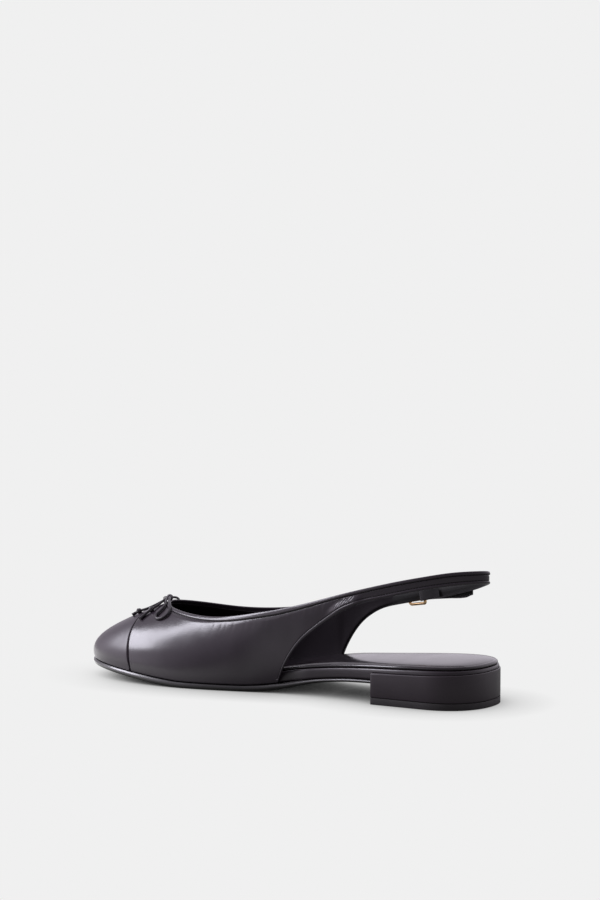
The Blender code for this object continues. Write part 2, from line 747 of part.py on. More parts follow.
def main():
    for old in list(bpy.data.objects):
        bpy.data.objects.remove(old)
    make_heel()
    make_outsole()
    make_footbed()
    make_sock()
    grid = upper_surface()
    upper = make_upper(grid)
    make_buckle(upper)
    make_bow(grid)


main()
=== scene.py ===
import math

import bpy
import numpy as np
from mathutils import Matrix, Quaternion, Vector
from mathutils.bvhtree import BVHTree


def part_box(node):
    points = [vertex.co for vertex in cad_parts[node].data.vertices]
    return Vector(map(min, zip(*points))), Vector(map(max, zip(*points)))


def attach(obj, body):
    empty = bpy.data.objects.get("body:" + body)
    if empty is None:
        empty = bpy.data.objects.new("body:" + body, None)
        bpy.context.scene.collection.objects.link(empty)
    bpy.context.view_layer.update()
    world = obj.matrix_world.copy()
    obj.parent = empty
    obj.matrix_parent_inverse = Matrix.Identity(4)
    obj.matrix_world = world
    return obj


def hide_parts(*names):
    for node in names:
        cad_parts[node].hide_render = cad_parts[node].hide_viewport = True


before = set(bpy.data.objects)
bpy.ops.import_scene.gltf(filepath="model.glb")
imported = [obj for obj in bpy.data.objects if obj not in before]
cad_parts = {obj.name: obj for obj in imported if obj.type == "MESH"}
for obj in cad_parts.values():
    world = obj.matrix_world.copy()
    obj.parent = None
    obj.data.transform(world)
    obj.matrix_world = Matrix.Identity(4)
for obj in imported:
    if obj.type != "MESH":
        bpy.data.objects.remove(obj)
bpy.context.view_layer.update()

# Studio: an even white floor that runs out to the horizon, a pale dome of light that is darker behind the
# camera, and one soft panel beside the toe. The camera stands low on the big toe's side with a long lens.
MM = 0.001
heel_low, heel_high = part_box("heel_block")
BACK_X = heel_high.x  # back of the heel, from which s is measured forwards
AXIS_Y = (heel_low.y + heel_high.y) / 2  # heel's axis, from which y is measured
WHITE = "#f0f0f0"  # the paper and the backdrop, as the camera sees them
PAINTED_SHADOW_REACH = 34  # the painted soft shadow on the floor, from an occlusion node, reaches about this far
DOME_GLOW = 0.17  # strength of the dome away from the lobes below
DOME_TINT = (1.0, 0.94, 1.04, 1)
DOME_LOBES = [
    # turn from the shoe's near side, height in degrees, power of the falloff, strength
    (-66, 4, 5.0, 2.1),
    (180, 12, 1.5, 0.9),
    (0, 90, 2.0, 0.38),
    (115, 5, 3.0, 0.35),
]
PANEL_SIZE = (380, 650)
PANEL_POWER, PANEL_TINT = 10.8, (0.955, 0.94, 1.04)
PANEL_TURN, PANEL_RISE, PANEL_LEAN = -65, 38, 38  # degrees
PANEL_AIM, PANEL_DISTANCE = (-70, 0, 20), 1100  # it faces a spot in the forefoot
CAMERA_TURN, CAMERA_RISE = 30.49, 5.95  # degrees
CAMERA_ASIDE, CAMERA_ABOVE = 3.845, 132.266  # the picture's middle, from the shoe's middle and the floor
CAMERA_DISTANCE = 2037.5
CAMERA_LENS, CAMERA_SENSOR = 147.55, 36


def linear(code):
    """An sRGB hex colour as linear red, green, blue and alpha."""
    parts = [int(code[i : i + 2], 16) / 255 for i in (1, 3, 5)]
    return (*[c / 12.92 if c <= 0.04045 else ((c + 0.055) / 1.055) ** 2.4 for c in parts], 1.0)


def add_node(tree, kind, sockets=(), **settings):
    """Adds a node. Each of its named sockets gets a value, or a link from another node's socket."""
    made = tree.nodes.new(kind)
    for name, value in settings.items():
        setattr(made, name, value)
    for name, value in dict(sockets).items():
        if isinstance(value, bpy.types.NodeSocket):
            tree.links.new(value, made.inputs[name])
        else:
            made.inputs[name].default_value = value
    return made


def direction(turn, height):
    """A unit vector: turn 0 is towards -Y and 90 towards +X, and height is above the floor."""
    turn, height = math.radians(turn), math.radians(height)
    return Vector((math.sin(turn) * math.cos(height), -math.cos(turn) * math.cos(height), math.sin(height)))


scene = bpy.context.scene
scene.view_settings.view_transform = "Standard"

bpy.ops.object.select_all(action="DESELECT")
bpy.ops.mesh.primitive_circle_add(vertices=96, radius=12, fill_type="NGON", location=(0, 0, -0.00005))
floor = bpy.context.object
floor.name = "floor"
bpy.ops.object.transform_apply(location=True, rotation=True, scale=True)

# glowing white paper: an even, pale emitter. Its soft shadow close to the shoe is painted shade from an
# occlusion node, fainter under the raised toe. In what the shoe reflects and in the light it sends to the
# shoe,
# it glows brighter beside the toe: a painted pool of the panel's light thrown back.
paper = bpy.data.materials.new("glowing_paper_painted_shadow")
paper.use_nodes = True
tree = paper.node_tree
tree.nodes.clear()
seen = add_node(tree, "ShaderNodeLightPath").outputs["Is Camera Ray"]
# painted shadow: an occlusion node darkens the paper's glow close to the shoe
painted_shadow_occlusion = add_node(tree, "ShaderNodeAmbientOcclusion", {"Distance": PAINTED_SHADOW_REACH * MM}, samples=12)
spot = add_node(tree, "ShaderNodeTexCoord").outputs["Object"]
forward = add_node(tree, "ShaderNodeSeparateXYZ", {0: spot}).outputs["X"]
# the painted shadow is fainter ahead of the raised toe for the camera, and deeper in the paper's light on the
# shoe
painted_shadow_under_toe = {"Value": forward, "From Min": -0.125, "From Max": -0.07, "To Min": 0.25, "To Max": 0.95}
painted_shadow_under_toe = add_node(tree, "ShaderNodeMapRange", painted_shadow_under_toe, interpolation_type="SMOOTHSTEP")
depth = add_node(tree, "ShaderNodeMix", {0: seen, 2: 2.4, 3: painted_shadow_under_toe.outputs[0]})
painted_contact_shadow = {0: painted_shadow_occlusion.outputs["AO"], 1: depth.outputs[0]}
painted_contact_shadow = add_node(tree, "ShaderNodeMath", painted_contact_shadow, operation="POWER")
# painted pool of light: in all but camera rays the paper glows brighter beside the toe
painted_light_pool_distance = {0: spot, 1: (-0.33, 0.0, 0.0)}
painted_light_pool_distance = add_node(tree, "ShaderNodeVectorMath", painted_light_pool_distance, operation="DISTANCE").outputs["Value"]
spread = {"Value": painted_light_pool_distance, "From Min": 0.12, "From Max": 0.38, "To Min": 2.2, "To Max": 0.32}
spread = add_node(tree, "ShaderNodeMapRange", spread, interpolation_type="SMOOTHSTEP")
pale = add_node(tree, "ShaderNodeMix", {0: seen, 2: spread.outputs[0], 3: linear(WHITE)[0]})
glow = add_node(tree, "ShaderNodeMath", {0: pale.outputs[0], 1: painted_contact_shadow.outputs[0]}, operation="MULTIPLY")
paper_glow_shader = add_node(tree, "ShaderNodeEmission", {"Color": (1, 1, 1, 1), "Strength": glow.outputs[0]})
add_node(tree, "ShaderNodeOutputMaterial", {"Surface": paper_glow_shader.outputs[0]})
paper.cycles.emission_sampling = "NONE"
floor.data.materials.append(paper)

scene.world = bpy.data.worlds.new("studio_dome")
scene.world.use_nodes = True
dome = scene.world.node_tree
dome.nodes.clear()
way = add_node(dome, "ShaderNodeTexCoord").outputs["Generated"]
glow = DOME_GLOW
for turn, height, power, strength in DOME_LOBES:
    along = {0: way, 1: direction(turn, height)}
    along = add_node(dome, "ShaderNodeVectorMath", along, operation="DOT_PRODUCT")
    ahead = add_node(dome, "ShaderNodeMath", {0: along.outputs["Value"], 1: 0.0}, operation="MAXIMUM")
    lobe = add_node(dome, "ShaderNodeMath", {0: ahead.outputs[0], 1: power}, operation="POWER")
    total = {0: lobe.outputs[0], 1: strength, 2: glow}
    glow = add_node(dome, "ShaderNodeMath", total, operation="MULTIPLY_ADD").outputs[0]
light = add_node(dome, "ShaderNodeBackground", {"Color": DOME_TINT, "Strength": glow})
backdrop = add_node(dome, "ShaderNodeBackground", {"Color": linear(WHITE), "Strength": 1.0})
seen = add_node(dome, "ShaderNodeLightPath").outputs["Is Camera Ray"]
both = {0: seen, 1: light.outputs[0], 2: backdrop.outputs[0]}
mixed = add_node(dome, "ShaderNodeMixShader", both)
add_node(dome, "ShaderNodeOutputWorld", {"Surface": mixed.outputs[0]})

panel = bpy.data.objects.new("soft_panel", bpy.data.lights.new("soft_panel", "AREA"))
scene.collection.objects.link(panel)
panel.data.shape = "RECTANGLE"
panel.data.size, panel.data.size_y = (side * MM for side in PANEL_SIZE)
panel.data.energy, panel.data.color = PANEL_POWER, PANEL_TINT
panel_way = direction(PANEL_TURN, PANEL_RISE)
panel.location = Vector([place * MM for place in PANEL_AIM]) + panel_way * (PANEL_DISTANCE * MM)
leaning = Quaternion((0, 0, 1), math.radians(PANEL_LEAN))
panel.rotation_euler = (panel_way.to_track_quat("Z", "Y") @ leaning).to_euler()

camera = bpy.data.objects.new("camera", bpy.data.cameras.new("camera"))
scene.collection.objects.link(camera)
camera_right = direction(CAMERA_TURN + 90, 0)
camera_back = direction(CAMERA_TURN, CAMERA_RISE)
camera_target = camera_right * CAMERA_ASIDE * MM + Vector((0, AXIS_Y, CAMERA_ABOVE * MM))
camera.location = camera_target + camera_back * CAMERA_DISTANCE * MM
camera.rotation_euler = camera_back.to_track_quat("Z", "Y").to_euler()
camera.data.lens, camera.data.sensor_width = CAMERA_LENS, CAMERA_SENSOR
scene.camera = camera


# Top lift: the moulded rubber top piece under the heel that stands on the floor. It is glued and nailed on,
# and trimmed flush with the heel's cover, with a fine dark line between them.
GAP = 0.3  # glue lines between pieces that meet
HEEL_LENGTH, HEEL_WIDTH = 60.2, 57.2
HEEL_ROUNDNESS = 2.28  # exponent of the round back, 2 is a true half circle
HEEL_CORNER = 1.2  # rounding of the breast's two corners
LIFT_HEIGHT = 3.8
LIFT_EDGE = 0.15  # rounding of its edges
LIFT_LINE = 0.6 * GAP  # height of the dark line over it


def in_frame(points):
    """Points in s, y, z millimetres as metres in the shoe's frame."""
    points = np.asarray(points, float)
    s, y, z = points[..., 0], points[..., 1], points[..., 2]
    return np.stack([BACK_X - s * MM, AXIS_Y + y * MM, z * MM], -1)


def only(*pieces):
    """Selects these pieces alone, the first one active."""
    bpy.ops.object.select_all(action="DESELECT")
    for piece in pieces:
        piece.select_set(True)
    bpy.context.view_layer.objects.active = pieces[0]


def grid(name, rows, seams=None):
    """Adds a grid and moves its points to the given rows of points in s, y, z millimetres.

    seams, from 0 to 1, is how much painted shade each point takes in seams, folds and on the leather's back;
    it is stored as the seam attribute.
    """
    rows = np.asarray(rows, float)
    bpy.ops.object.select_all(action="DESELECT")
    bpy.ops.mesh.primitive_grid_add(x_subdivisions=rows.shape[1] - 1, y_subdivisions=rows.shape[0] - 1)
    made = bpy.context.object
    made.name = made.data.name = name
    made.data.vertices.foreach_set("co", in_frame(rows).ravel())
    if seams is not None:
        made.data.attributes.new("seam", "FLOAT", "POINT").data.foreach_set("value", np.ravel(seams))
    made.data.update()
    return made


def close(piece, angle=40.0, fill=True):
    """Merges a piece's seams, fills its open ends, turns its faces outwards and smooths it.

    Edges that turn by more than the angle stay sharp.
    """
    only(piece)
    bpy.ops.object.mode_set(mode="EDIT")
    bpy.ops.mesh.select_all(action="SELECT")
    bpy.ops.mesh.remove_doubles(threshold=2e-6)
    if fill:
        bpy.ops.mesh.select_all(action="SELECT")
        bpy.ops.mesh.fill_holes(sides=0)
        bpy.ops.mesh.quads_convert_to_tris(quad_method="BEAUTY", ngon_method="BEAUTY")
    bpy.ops.mesh.select_all(action="SELECT")
    bpy.ops.mesh.normals_make_consistent(inside=False)
    bpy.ops.object.mode_set(mode="OBJECT")
    bpy.ops.object.shade_smooth_by_angle(angle=math.radians(angle))


def layer(name, rings, bottom, top, spaces=14):
    """A closed layer from rings one above the other.

    Its two faces lie at heights that are functions of s and y.
    """
    rings = np.asarray(rings, float)
    count, half = rings.shape[1], rings.shape[1] // 2 + 1
    t = np.linspace(0, 1, spaces + 1)[:, None]
    wall = [rings, rings[:, :1]]
    if count % 2:  # a straight run lies halfway round, and is divided as the faces are
        run = rings[:, half - 1, None] * (1 - t[1:-1]) + rings[:, half, None] * t[1:-1]
        wall = [rings[:, :half], run, rings[:, half:], rings[:, :1]]
    wall = grid(name, np.concatenate(wall, axis=1))
    faces = []
    for ring, height in ((rings[0], bottom), (rings[-1], top)):
        pairs = [(ring[i], ring[(count - i) % count]) for i in range(half)]
        rows = np.array([a * (1 - t) + b * t for a, b in pairs])
        rows[:, 1:-1, 2] = height(rows[:, 1:-1, 0], rows[:, 1:-1, 1])
        faces.append(grid(name + "_face", rows))
    only(wall, *faces)
    bpy.ops.object.join()
    close(wall, fill=False)
    return wall


def heel_arc(width, back, angles):
    """The round back of a heel, as rows of s and y, at angles from its middle."""
    radius = width / 2
    c, s = np.cos(angles), np.sin(angles)
    power = 2 / HEEL_ROUNDNESS
    return np.stack(
        [back + radius - radius * np.abs(c) ** power, radius * np.sign(s) * np.abs(s) ** power], -1
    )


def heel_plan(count):
    """Plan of the heel: back middle, medial side to the breast, then the lateral side."""
    half = HEEL_WIDTH / 2
    spread = np.linspace(0, 1, count) ** 1.3
    round_back = heel_arc(HEEL_WIDTH, 0, -spread * math.pi / 2)
    side = [(s, -half) for s in np.linspace(round_back[-1, 0], HEEL_LENGTH - HEEL_CORNER, 14)[1:-1]]
    corner = [
        (HEEL_LENGTH - HEEL_CORNER * (1 - math.sin(a)), HEEL_CORNER * (1 - math.cos(a)) - half)
        for a in np.linspace(0, math.pi / 2, 7)
    ]
    plan = np.array([*round_back, *side, *corner])
    return np.concatenate([plan, (plan * (1, -1))[:0:-1]])


def inset(ring, distance, closed=True):
    """A ring of plan points moved inwards along its own normals."""
    if closed:
        run = np.roll(ring, -1, axis=0) - np.roll(ring, 1, axis=0)
    else:
        run = np.gradient(ring, axis=0)
    run /= np.linalg.norm(run, axis=1)[:, None]
    inward = np.stack([-run[:, 1], run[:, 0]], -1)
    return ring + inward * np.broadcast_to(distance, len(ring))[:, None]


def heel_rings(bottom, top, edge):
    """Rings of a heel layer with rounded edges, between two heights that are functions of s."""
    plan = heel_plan(40)
    turns = np.radians([0, 22.5, 45, 67.5, 90])
    steps = [(edge * (1 - math.sin(a)), bottom, edge * (1 - math.cos(a))) for a in turns]
    steps += [(edge * (1 - math.cos(a)), top, edge * (math.sin(a) - 1)) for a in turns]
    rings = []
    for margin, height, lift in steps:
        ring = inset(plan, margin)
        rings.append(np.column_stack([ring, height(ring[:, 0]) + lift]))
    return rings


def lift_bottom(s, y=0):
    return 0 * s


def lift_top(s, y=0):
    return 0 * s + LIFT_HEIGHT - LIFT_LINE


def start_material(name):
    """A new material, its node tree, its shader and a socket that gives Object coordinates."""
    made = bpy.data.materials.new(name)
    made.use_nodes = True
    tree = made.node_tree
    spot = add_node(tree, "ShaderNodeTexCoord").outputs["Object"]
    return made, tree, tree.nodes["Principled BSDF"], spot


lift_rings = heel_rings(lift_bottom, lift_top, LIFT_EDGE)
top_lift = layer("top_lift_rubber", lift_rings, lift_bottom, lift_top)

# moulded rubber: dark and neutral, matt, faintly mottled, with the fine drag marks of trimming round its edge
rubber, tree, rubber_shader, spot = start_material("moulded_rubber")
mottle = add_node(tree, "ShaderNodeTexNoise", {"Vector": spot, "Scale": 1 / (6 * MM), "Detail": 3.0})
shades = {0: mottle.outputs["Fac"], 6: linear("#221f21"), 7: linear("#2c292b")}
tint = add_node(tree, "ShaderNodeMix", shades, data_type="RGBA")
tree.links.new(tint.outputs[2], rubber_shader.inputs["Base Color"])
stretched = add_node(tree, "ShaderNodeMapping", {"Vector": spot, "Scale": (0.35, 0.35, 2.5)})
# real trimming marks are about 0.1 mm apart, drawn at 0.6 mm so that they show
drag = {"Vector": stretched.outputs[0], "Scale": 1 / (0.6 * MM), "Detail": 2.0}
drag = add_node(tree, "ShaderNodeTexNoise", drag).outputs["Fac"]
rough = add_node(tree, "ShaderNodeMapRange", {"Value": drag, "To Min": 0.52, "To Max": 0.72})
tree.links.new(rough.outputs[0], rubber_shader.inputs["Roughness"])
marks = add_node(tree, "ShaderNodeBump", {"Height": drag, "Strength": 0.35, "Distance": 0.08 * MM})
tree.links.new(marks.outputs[0], rubber_shader.inputs["Normal"])
rubber_shader.inputs["IOR"].default_value = 1.52
top_lift.data.materials.append(rubber)
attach(top_lift, "root")
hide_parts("top_lift")


# Heel block: a low moulded block wrapped in the upper's leather, which is pulled tight and tucked under at
# the seat and the top piece. Its sides are flat and its back is round.
HEEL_TOP_FRONT, HEEL_TOP_BACK = 16.8, 19.4
COVER_EDGE = 0.55  # rounding of the cover's edges


def heel_bottom(s, y=0):
    return 0 * s + LIFT_HEIGHT


def heel_top(s, y=0):
    return HEEL_TOP_BACK + (HEEL_TOP_FRONT - HEEL_TOP_BACK) * s / HEEL_LENGTH


def leather(name, dark, light, rough, grain, uneven):
    """Smooth calf leather: near black with a plum cast, satin, with fine pores and soft unevenness."""
    made, tree, shader, spot = start_material(name)
    cloud = {"Vector": spot, "Scale": 1 / (16 * MM), "Detail": 4.0}
    cloud = add_node(tree, "ShaderNodeTexNoise", cloud).outputs["Fac"]
    tint = {0: cloud, 6: linear(dark), 7: linear(light)}
    tint = add_node(tree, "ShaderNodeMix", tint, data_type="RGBA")
    # the seam attribute paints shade: it darkens the colour in the seams' grooves, gaps and folds and on the
    # leather's back, and makes them dull, as they take no polish
    seam = add_node(tree, "ShaderNodeAttribute", attribute_name="seam").outputs["Fac"]
    tint = {0: seam, 6: tint.outputs[2], 7: linear("#070607")}
    tint = add_node(tree, "ShaderNodeMix", tint, data_type="RGBA")
    tree.links.new(tint.outputs[2], shader.inputs["Base Color"])
    gloss = {"From Min": 0.3, "From Max": 0.7, "To Min": rough - 0.03, "To Max": rough + 0.03}
    gloss = add_node(tree, "ShaderNodeMapRange", {"Value": cloud, **gloss})
    dull = add_node(tree, "ShaderNodeMix", {0: seam, 2: gloss.outputs[0], 3: 0.9})
    tree.links.new(dull.outputs[0], shader.inputs["Roughness"])
    # calf pores lie about 0.3 mm apart, drawn at 0.7 mm so that they show
    pores = {"Vector": spot, "Scale": 1 / (0.7 * MM), "Detail": 2.0}
    pores = add_node(tree, "ShaderNodeTexNoise", pores)
    fine = {"Height": pores.outputs["Fac"], "Strength": grain, "Distance": 0.04 * MM}
    fine = add_node(tree, "ShaderNodeBump", fine)
    swell = add_node(tree, "ShaderNodeTexNoise", {"Vector": spot, "Scale": 1 / (9 * MM), "Detail": 2.0})
    broad = {"Height": swell.outputs["Fac"], "Strength": uneven, "Distance": 0.6 * MM}
    broad = add_node(tree, "ShaderNodeBump", {**broad, "Normal": fine.outputs[0]})
    tree.links.new(broad.outputs[0], shader.inputs["Normal"])
    shader.inputs["IOR"].default_value = 1.5
    return made


cover_rings = heel_rings(heel_bottom, heel_top, COVER_EDGE)
heel_block = layer("heel_block_cover", cover_rings, heel_bottom, heel_top)
heel_leather = leather("heel_cover_calf", "#282127", "#2e262d", rough=0.38, grain=0.2, uneven=0.06)
heel_block.data.materials.append(heel_leather)
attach(heel_block, "root")
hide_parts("heel_block")


# Outsole: a thin leather sole from the heel's breast to the toe, thicker under the ball. Its edge is rounded,
# inked black and polished with wax. The real underside is roughed; here it takes the edge's waxed finish.
LENGTH = 250.0
FOOTBED_BACK = 1.0  # how far the wrapped footbed lies inside the heel at the back
TOE_TIP_Y = -6.4
SIDE_SPACES = 110  # spaces between the points along each side of a sole layer
SOLE_OUTLINE = [
    # s, medial, lateral
    (33, -26.8, 26.8),
    (60, -24.9, 25.4),
    (85, -22.9, 25.8),
    (105, -23.0, 28.2),
    (125, -25.8, 32.6),
    (147, -31.2, 37.6),
    (170, -36.0, 40.3),
    (185, -37.4, 40.0),
    (200, -37.0, 36.6),
    (215, -34.9, 30.8),
    (230, -30.4, 22.2),
    (240, -24.6, 13.8),
    (247, -16.6, 4.6),
]
SOLE_PROFILE = [
    # s, outsole bottom, outsole top, footbed top
    (0, 10.4, 12.6, 21.4),
    (18, 10.4, 12.6, 21.1),
    (32, 10.4, 12.6, 20.6),
    (46, 10.4, 12.6, 19.8),
    (60, 10.4, 12.6, 18.9),
    (75, 9.9, 12.1, 17.8),
    (88, 8.8, 11.0, 16.7),
    (98, 7.4, 9.8, 15.6),
    (107, 5.4, 8.2, 14.4),
    (120, 2.3, 5.8, 12.0),
    (132, 0.5, 4.1, 9.4),
    (143, 0.0, 3.4, 7.6),
    (160, 0.0, 3.3, 6.6),
    (176, 0.0, 3.4, 6.6),
    (192, 1.0, 4.6, 7.6),
    (212, 3.1, 6.6, 9.4),
    (232, 5.2, 8.5, 11.3),
    (250, 6.9, 10.0, 12.9),
]
OUTSOLE_EDGE = [
    # inset, share of the height
    (1.9, 0.0),
    (1.2, 0.04),
    (0.7, 0.11),
    (0.32, 0.21),
    (0.09, 0.34),
    (0.0, 0.47),
    (0.06, 0.59),
    (0.2, 0.7),
    (0.42, 0.8),
    (0.7, 0.89),
    (1.05, 0.96),
    (1.5, 1.0),
]


def spline(knots, values, at, closed=False):
    """A smooth cubic through values at knots. A closed one repeats its first value at its last knot."""
    knots, at = np.asarray(knots, float), np.asarray(at, float)
    values = np.asarray(values, float).reshape(len(knots), -1)
    count, step = len(knots), np.diff(knots)
    rise = np.diff(values, axis=0) / step[:, None]
    system, wanted = np.eye(count), np.zeros_like(values)
    for i in range(1, count - 1):
        system[i, i - 1 : i + 2] = step[i - 1], 2 * (step[i - 1] + step[i]), step[i]
        wanted[i] = 6 * (rise[i] - rise[i - 1])
    if closed:
        system[0, [0, 1, -2]] = 2 * (step[-1] + step[0]), step[0], step[-1]
        wanted[0] = 6 * (rise[0] - rise[-1])
        system[-1, [0, -1]] = 1, -1
    bend = np.linalg.solve(system, wanted)
    i = np.clip(np.searchsorted(knots, at, side="right") - 1, 0, count - 2)
    after, before = (at - knots[i])[:, None], (knots[i + 1] - at)[:, None]
    width = step[i][:, None]
    return (
        (bend[i] * before**3 + bend[i + 1] * after**3) / (6 * width)
        + (values[i] / width - bend[i] * width / 6) * before
        + (values[i + 1] / width - bend[i + 1] * width / 6) * after
    )


def profile(table, column, at):
    """A column of a table over its first column, with no overshoot, so level rows stay level."""
    x = np.array([row[0] for row in table], float)
    y = np.array([row[column] for row in table], float)
    slope = np.diff(y) / np.diff(x)
    tangent = np.concatenate([slope[:1], np.zeros(len(x) - 2), slope[-1:]])
    same = slope[1:] * slope[:-1] > 0
    tangent[1:-1][same] = (2 * slope[1:] * slope[:-1] / (slope[1:] + slope[:-1] + 1e-12))[same]
    at = np.clip(np.asarray(at, float), x[0], x[-1])
    i = np.clip(np.searchsorted(x, at, side="right") - 1, 0, len(x) - 2)
    width = x[i + 1] - x[i]
    t = (at - x[i]) / width
    return (
        y[i] * (1 + 2 * t) * (1 - t) ** 2
        + tangent[i] * width * t * (1 - t) ** 2
        + y[i + 1] * t * t * (3 - 2 * t)
        + tangent[i + 1] * width * t * t * (t - 1)
    )


def chords(points):
    """Distance along a row of points, starting at 0."""
    return np.concatenate([[0], np.cumsum(np.linalg.norm(np.diff(points, axis=0), axis=1))])


def sole_outline(count, start=None):
    """Plan of the sole with count spaces a side: medial side to the toe tip and back on the lateral side.

    It begins at the middle of the heel's back, or at a straight cut across the sole at s = start.
    """
    width = SOLE_OUTLINE[0][2] * 2
    heel = heel_arc(width, FOOTBED_BACK, np.radians([-68, -46, -22, 0, 22, 46, 68]))
    medial = [(s, m) for s, m, _ in SOLE_OUTLINE]
    lateral = [(s, y) for s, _, y in reversed(SOLE_OUTLINE)]
    ring = np.array([*heel[3::-1], *medial, (LENGTH, TOE_TIP_Y), *lateral, *heel[:2:-1]])
    along = chords(ring)
    first, tip, last = 0.0, along[4 + len(medial)], along[-1]
    if start is not None:
        dense = np.linspace(0, along[-1], 2000)
        place = spline(along, ring, dense, closed=True)[:, 0]
        first = dense[np.argmax(place > start)]
        last = dense[len(dense) - 1 - np.argmax(place[::-1] > start)]
    steps = np.linspace(0, 1, count + 1)
    even = 0.6 * steps + 0.4 * (1 - np.cos(steps * math.pi)) / 2
    at = np.concatenate([first + even * (tip - first), tip + even[1:] * (last - tip)])
    plan = spline(along, ring, at, closed=True)
    return plan[:-1] if start is None else plan


def outsole_bottom(s, y=0):
    return profile(SOLE_PROFILE, 1, s)


def outsole_top(s, y=0):
    return profile(SOLE_PROFILE, 2, s)


def edge_rings(plan, edge, bottom, top, closed=True):
    """The plan inset by each row of an edge table, at that share of the layer's height."""
    rings = []
    for margin, share in edge:
        ring = inset(plan, margin, closed)
        low = bottom(*ring.T)
        rings.append(np.column_stack([ring, low + (top(*ring.T) - low) * share]))
    return rings


# the sole is cut straight just ahead of the heel's breast, and each ring starts in the middle of that cut
sole_plan = sole_outline(SIDE_SPACES, HEEL_LENGTH + GAP)
outsole_rings = [
    np.concatenate([(ring[:1] + ring[-1:]) / 2, ring])
    for ring in edge_rings(sole_plan, OUTSOLE_EDGE, outsole_bottom, outsole_top, closed=False)
]
outsole = layer("outsole_leather", outsole_rings, outsole_bottom, outsole_top)

# inked and waxed sole edge: deep black, smooth and shiny, with faint streaks along it from the polishing iron
waxed, tree, waxed_shader, spot = start_material("waxed_black_edge")
stretched = add_node(tree, "ShaderNodeMapping", {"Vector": spot, "Scale": (0.12, 0.12, 1.0)})
streak = {"Vector": stretched.outputs[0], "Scale": 1 / (0.8 * MM), "Detail": 2.0}
streak = add_node(tree, "ShaderNodeTexNoise", streak).outputs["Fac"]
ink = {0: streak, 6: linear("#0b0a0b"), 7: linear("#131113")}
ink = add_node(tree, "ShaderNodeMix", ink, data_type="RGBA")
tree.links.new(ink.outputs[2], waxed_shader.inputs["Base Color"])
polish = add_node(tree, "ShaderNodeMapRange", {"Value": streak, "To Min": 0.29, "To Max": 0.38})
tree.links.new(polish.outputs[0], waxed_shader.inputs["Roughness"])
lines = add_node(tree, "ShaderNodeBump", {"Height": streak, "Strength": 0.08, "Distance": 0.05 * MM})
tree.links.new(lines.outputs[0], waxed_shader.inputs["Normal"])
waxed_shader.inputs["IOR"].default_value = 1.5
waxed_shader.inputs["Coat Weight"].default_value = 0.6
waxed_shader.inputs["Coat Roughness"].default_value = 0.15
outsole.data.materials.append(waxed)
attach(outsole, "root")
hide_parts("outsole")


# Footbed: a stiff insole board with its shank, wrapped in the upper's leather. Its covered edge shows as a
# band at the waist and over the heel, and it lies inside the upper in the forefoot.
WALL = 1.6  # upper leather with its lining
OUTSOLE_MARGIN = 0.8  # the outsole stands this far outside the upper
BOARD_MARGIN = 0.7  # the outsole stands this far outside the wrapped footbed at the waist
QUARTER_END = {"medial": 120.5, "lateral": 112.0}  # where the quarters leave the sole
OVER_HEEL = 1.3  # the wrap and the sock reach out this far over the heel
FOOTBED_EDGE = [
    # inset, share of the height
    (0.7, 0.0),
    (0.25, 0.02),
    (0.04, 0.08),
    (0.0, 0.2),
    (0.0, 0.5),
    (0.03, 0.72),
    (0.12, 0.85),
    (0.3, 0.95),
    (0.6, 0.99),
    (1.0, 1.0),
]


def smooth_step(x, low, high):
    """0 up to low, 1 from high on, and a smooth rise between them."""
    t = np.clip((x - low) / (high - low), 0, 1)
    return t * t * (3 - 2 * t)


def forefoot_margin(ring, back, front):
    """An inset for each plan point: back behind the quarters, front where the upper surrounds it."""
    end = np.where(ring[:, 1] < 0, QUARTER_END["medial"], QUARTER_END["lateral"])
    over_heel = OVER_HEEL * (1 - smooth_step(ring[:, 0], 40, 75))
    return back - over_heel + (front - back) * smooth_step(ring[:, 0], end - 17, end - 5)


def footbed_bottom(s, y=0):
    return outsole_top(s) + GAP


def footbed_top(s, y=0):
    return profile(SOLE_PROFILE, 3, s)


def cut_away(piece, tool, angle):
    """Cuts a tool's shape out of a piece, removes the tool and smooths all but the piece's sharp edges."""
    only(piece)
    change = piece.modifiers.new("cut", "BOOLEAN")
    change.operation, change.solver, change.object = "DIFFERENCE", "EXACT", tool
    bpy.ops.object.modifier_apply(modifier=change.name)
    bpy.data.objects.remove(tool)
    bpy.ops.object.shade_smooth_by_angle(angle=math.radians(angle))
    piece.data.materials.clear()


board_plan = sole_outline(SIDE_SPACES)
board_plan = inset(board_plan, forefoot_margin(board_plan, BOARD_MARGIN, OUTSOLE_MARGIN + WALL + 2 * GAP))
footbed_rings = edge_rings(board_plan, FOOTBED_EDGE, footbed_bottom, footbed_top)
footbed = layer("footbed_wrap", footbed_rings, footbed_bottom, footbed_top)

# the board is cut away over the heel block, which carries it there
reach = HEEL_LENGTH + GAP
bpy.ops.object.select_all(action="DESELECT")
bpy.ops.mesh.primitive_cube_add(size=1)
seat = bpy.context.object
seat_low, seat_high = (-GAP, -HEEL_WIDTH, 0.0), (reach, HEEL_WIDTH, heel_top(reach) + GAP)
rise_back = (HEEL_TOP_BACK - HEEL_TOP_FRONT) / HEEL_LENGTH
for vertex in seat.data.vertices:
    corner = [high if v > 0 else low for v, low, high in zip(vertex.co, seat_low, seat_high)]
    if vertex.co.z > 0:
        corner[2] += rise_back * (reach - corner[0])
    vertex.co = in_frame(corner)
close(seat, fill=False)
cut_away(footbed, seat, angle=40)
wrap_leather = leather("footbed_wrap_calf", "#231d23", "#292229", rough=0.31, grain=0.2, uneven=0.05)
footbed.data.materials.append(wrap_leather)
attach(footbed, "root")
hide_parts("footbed")


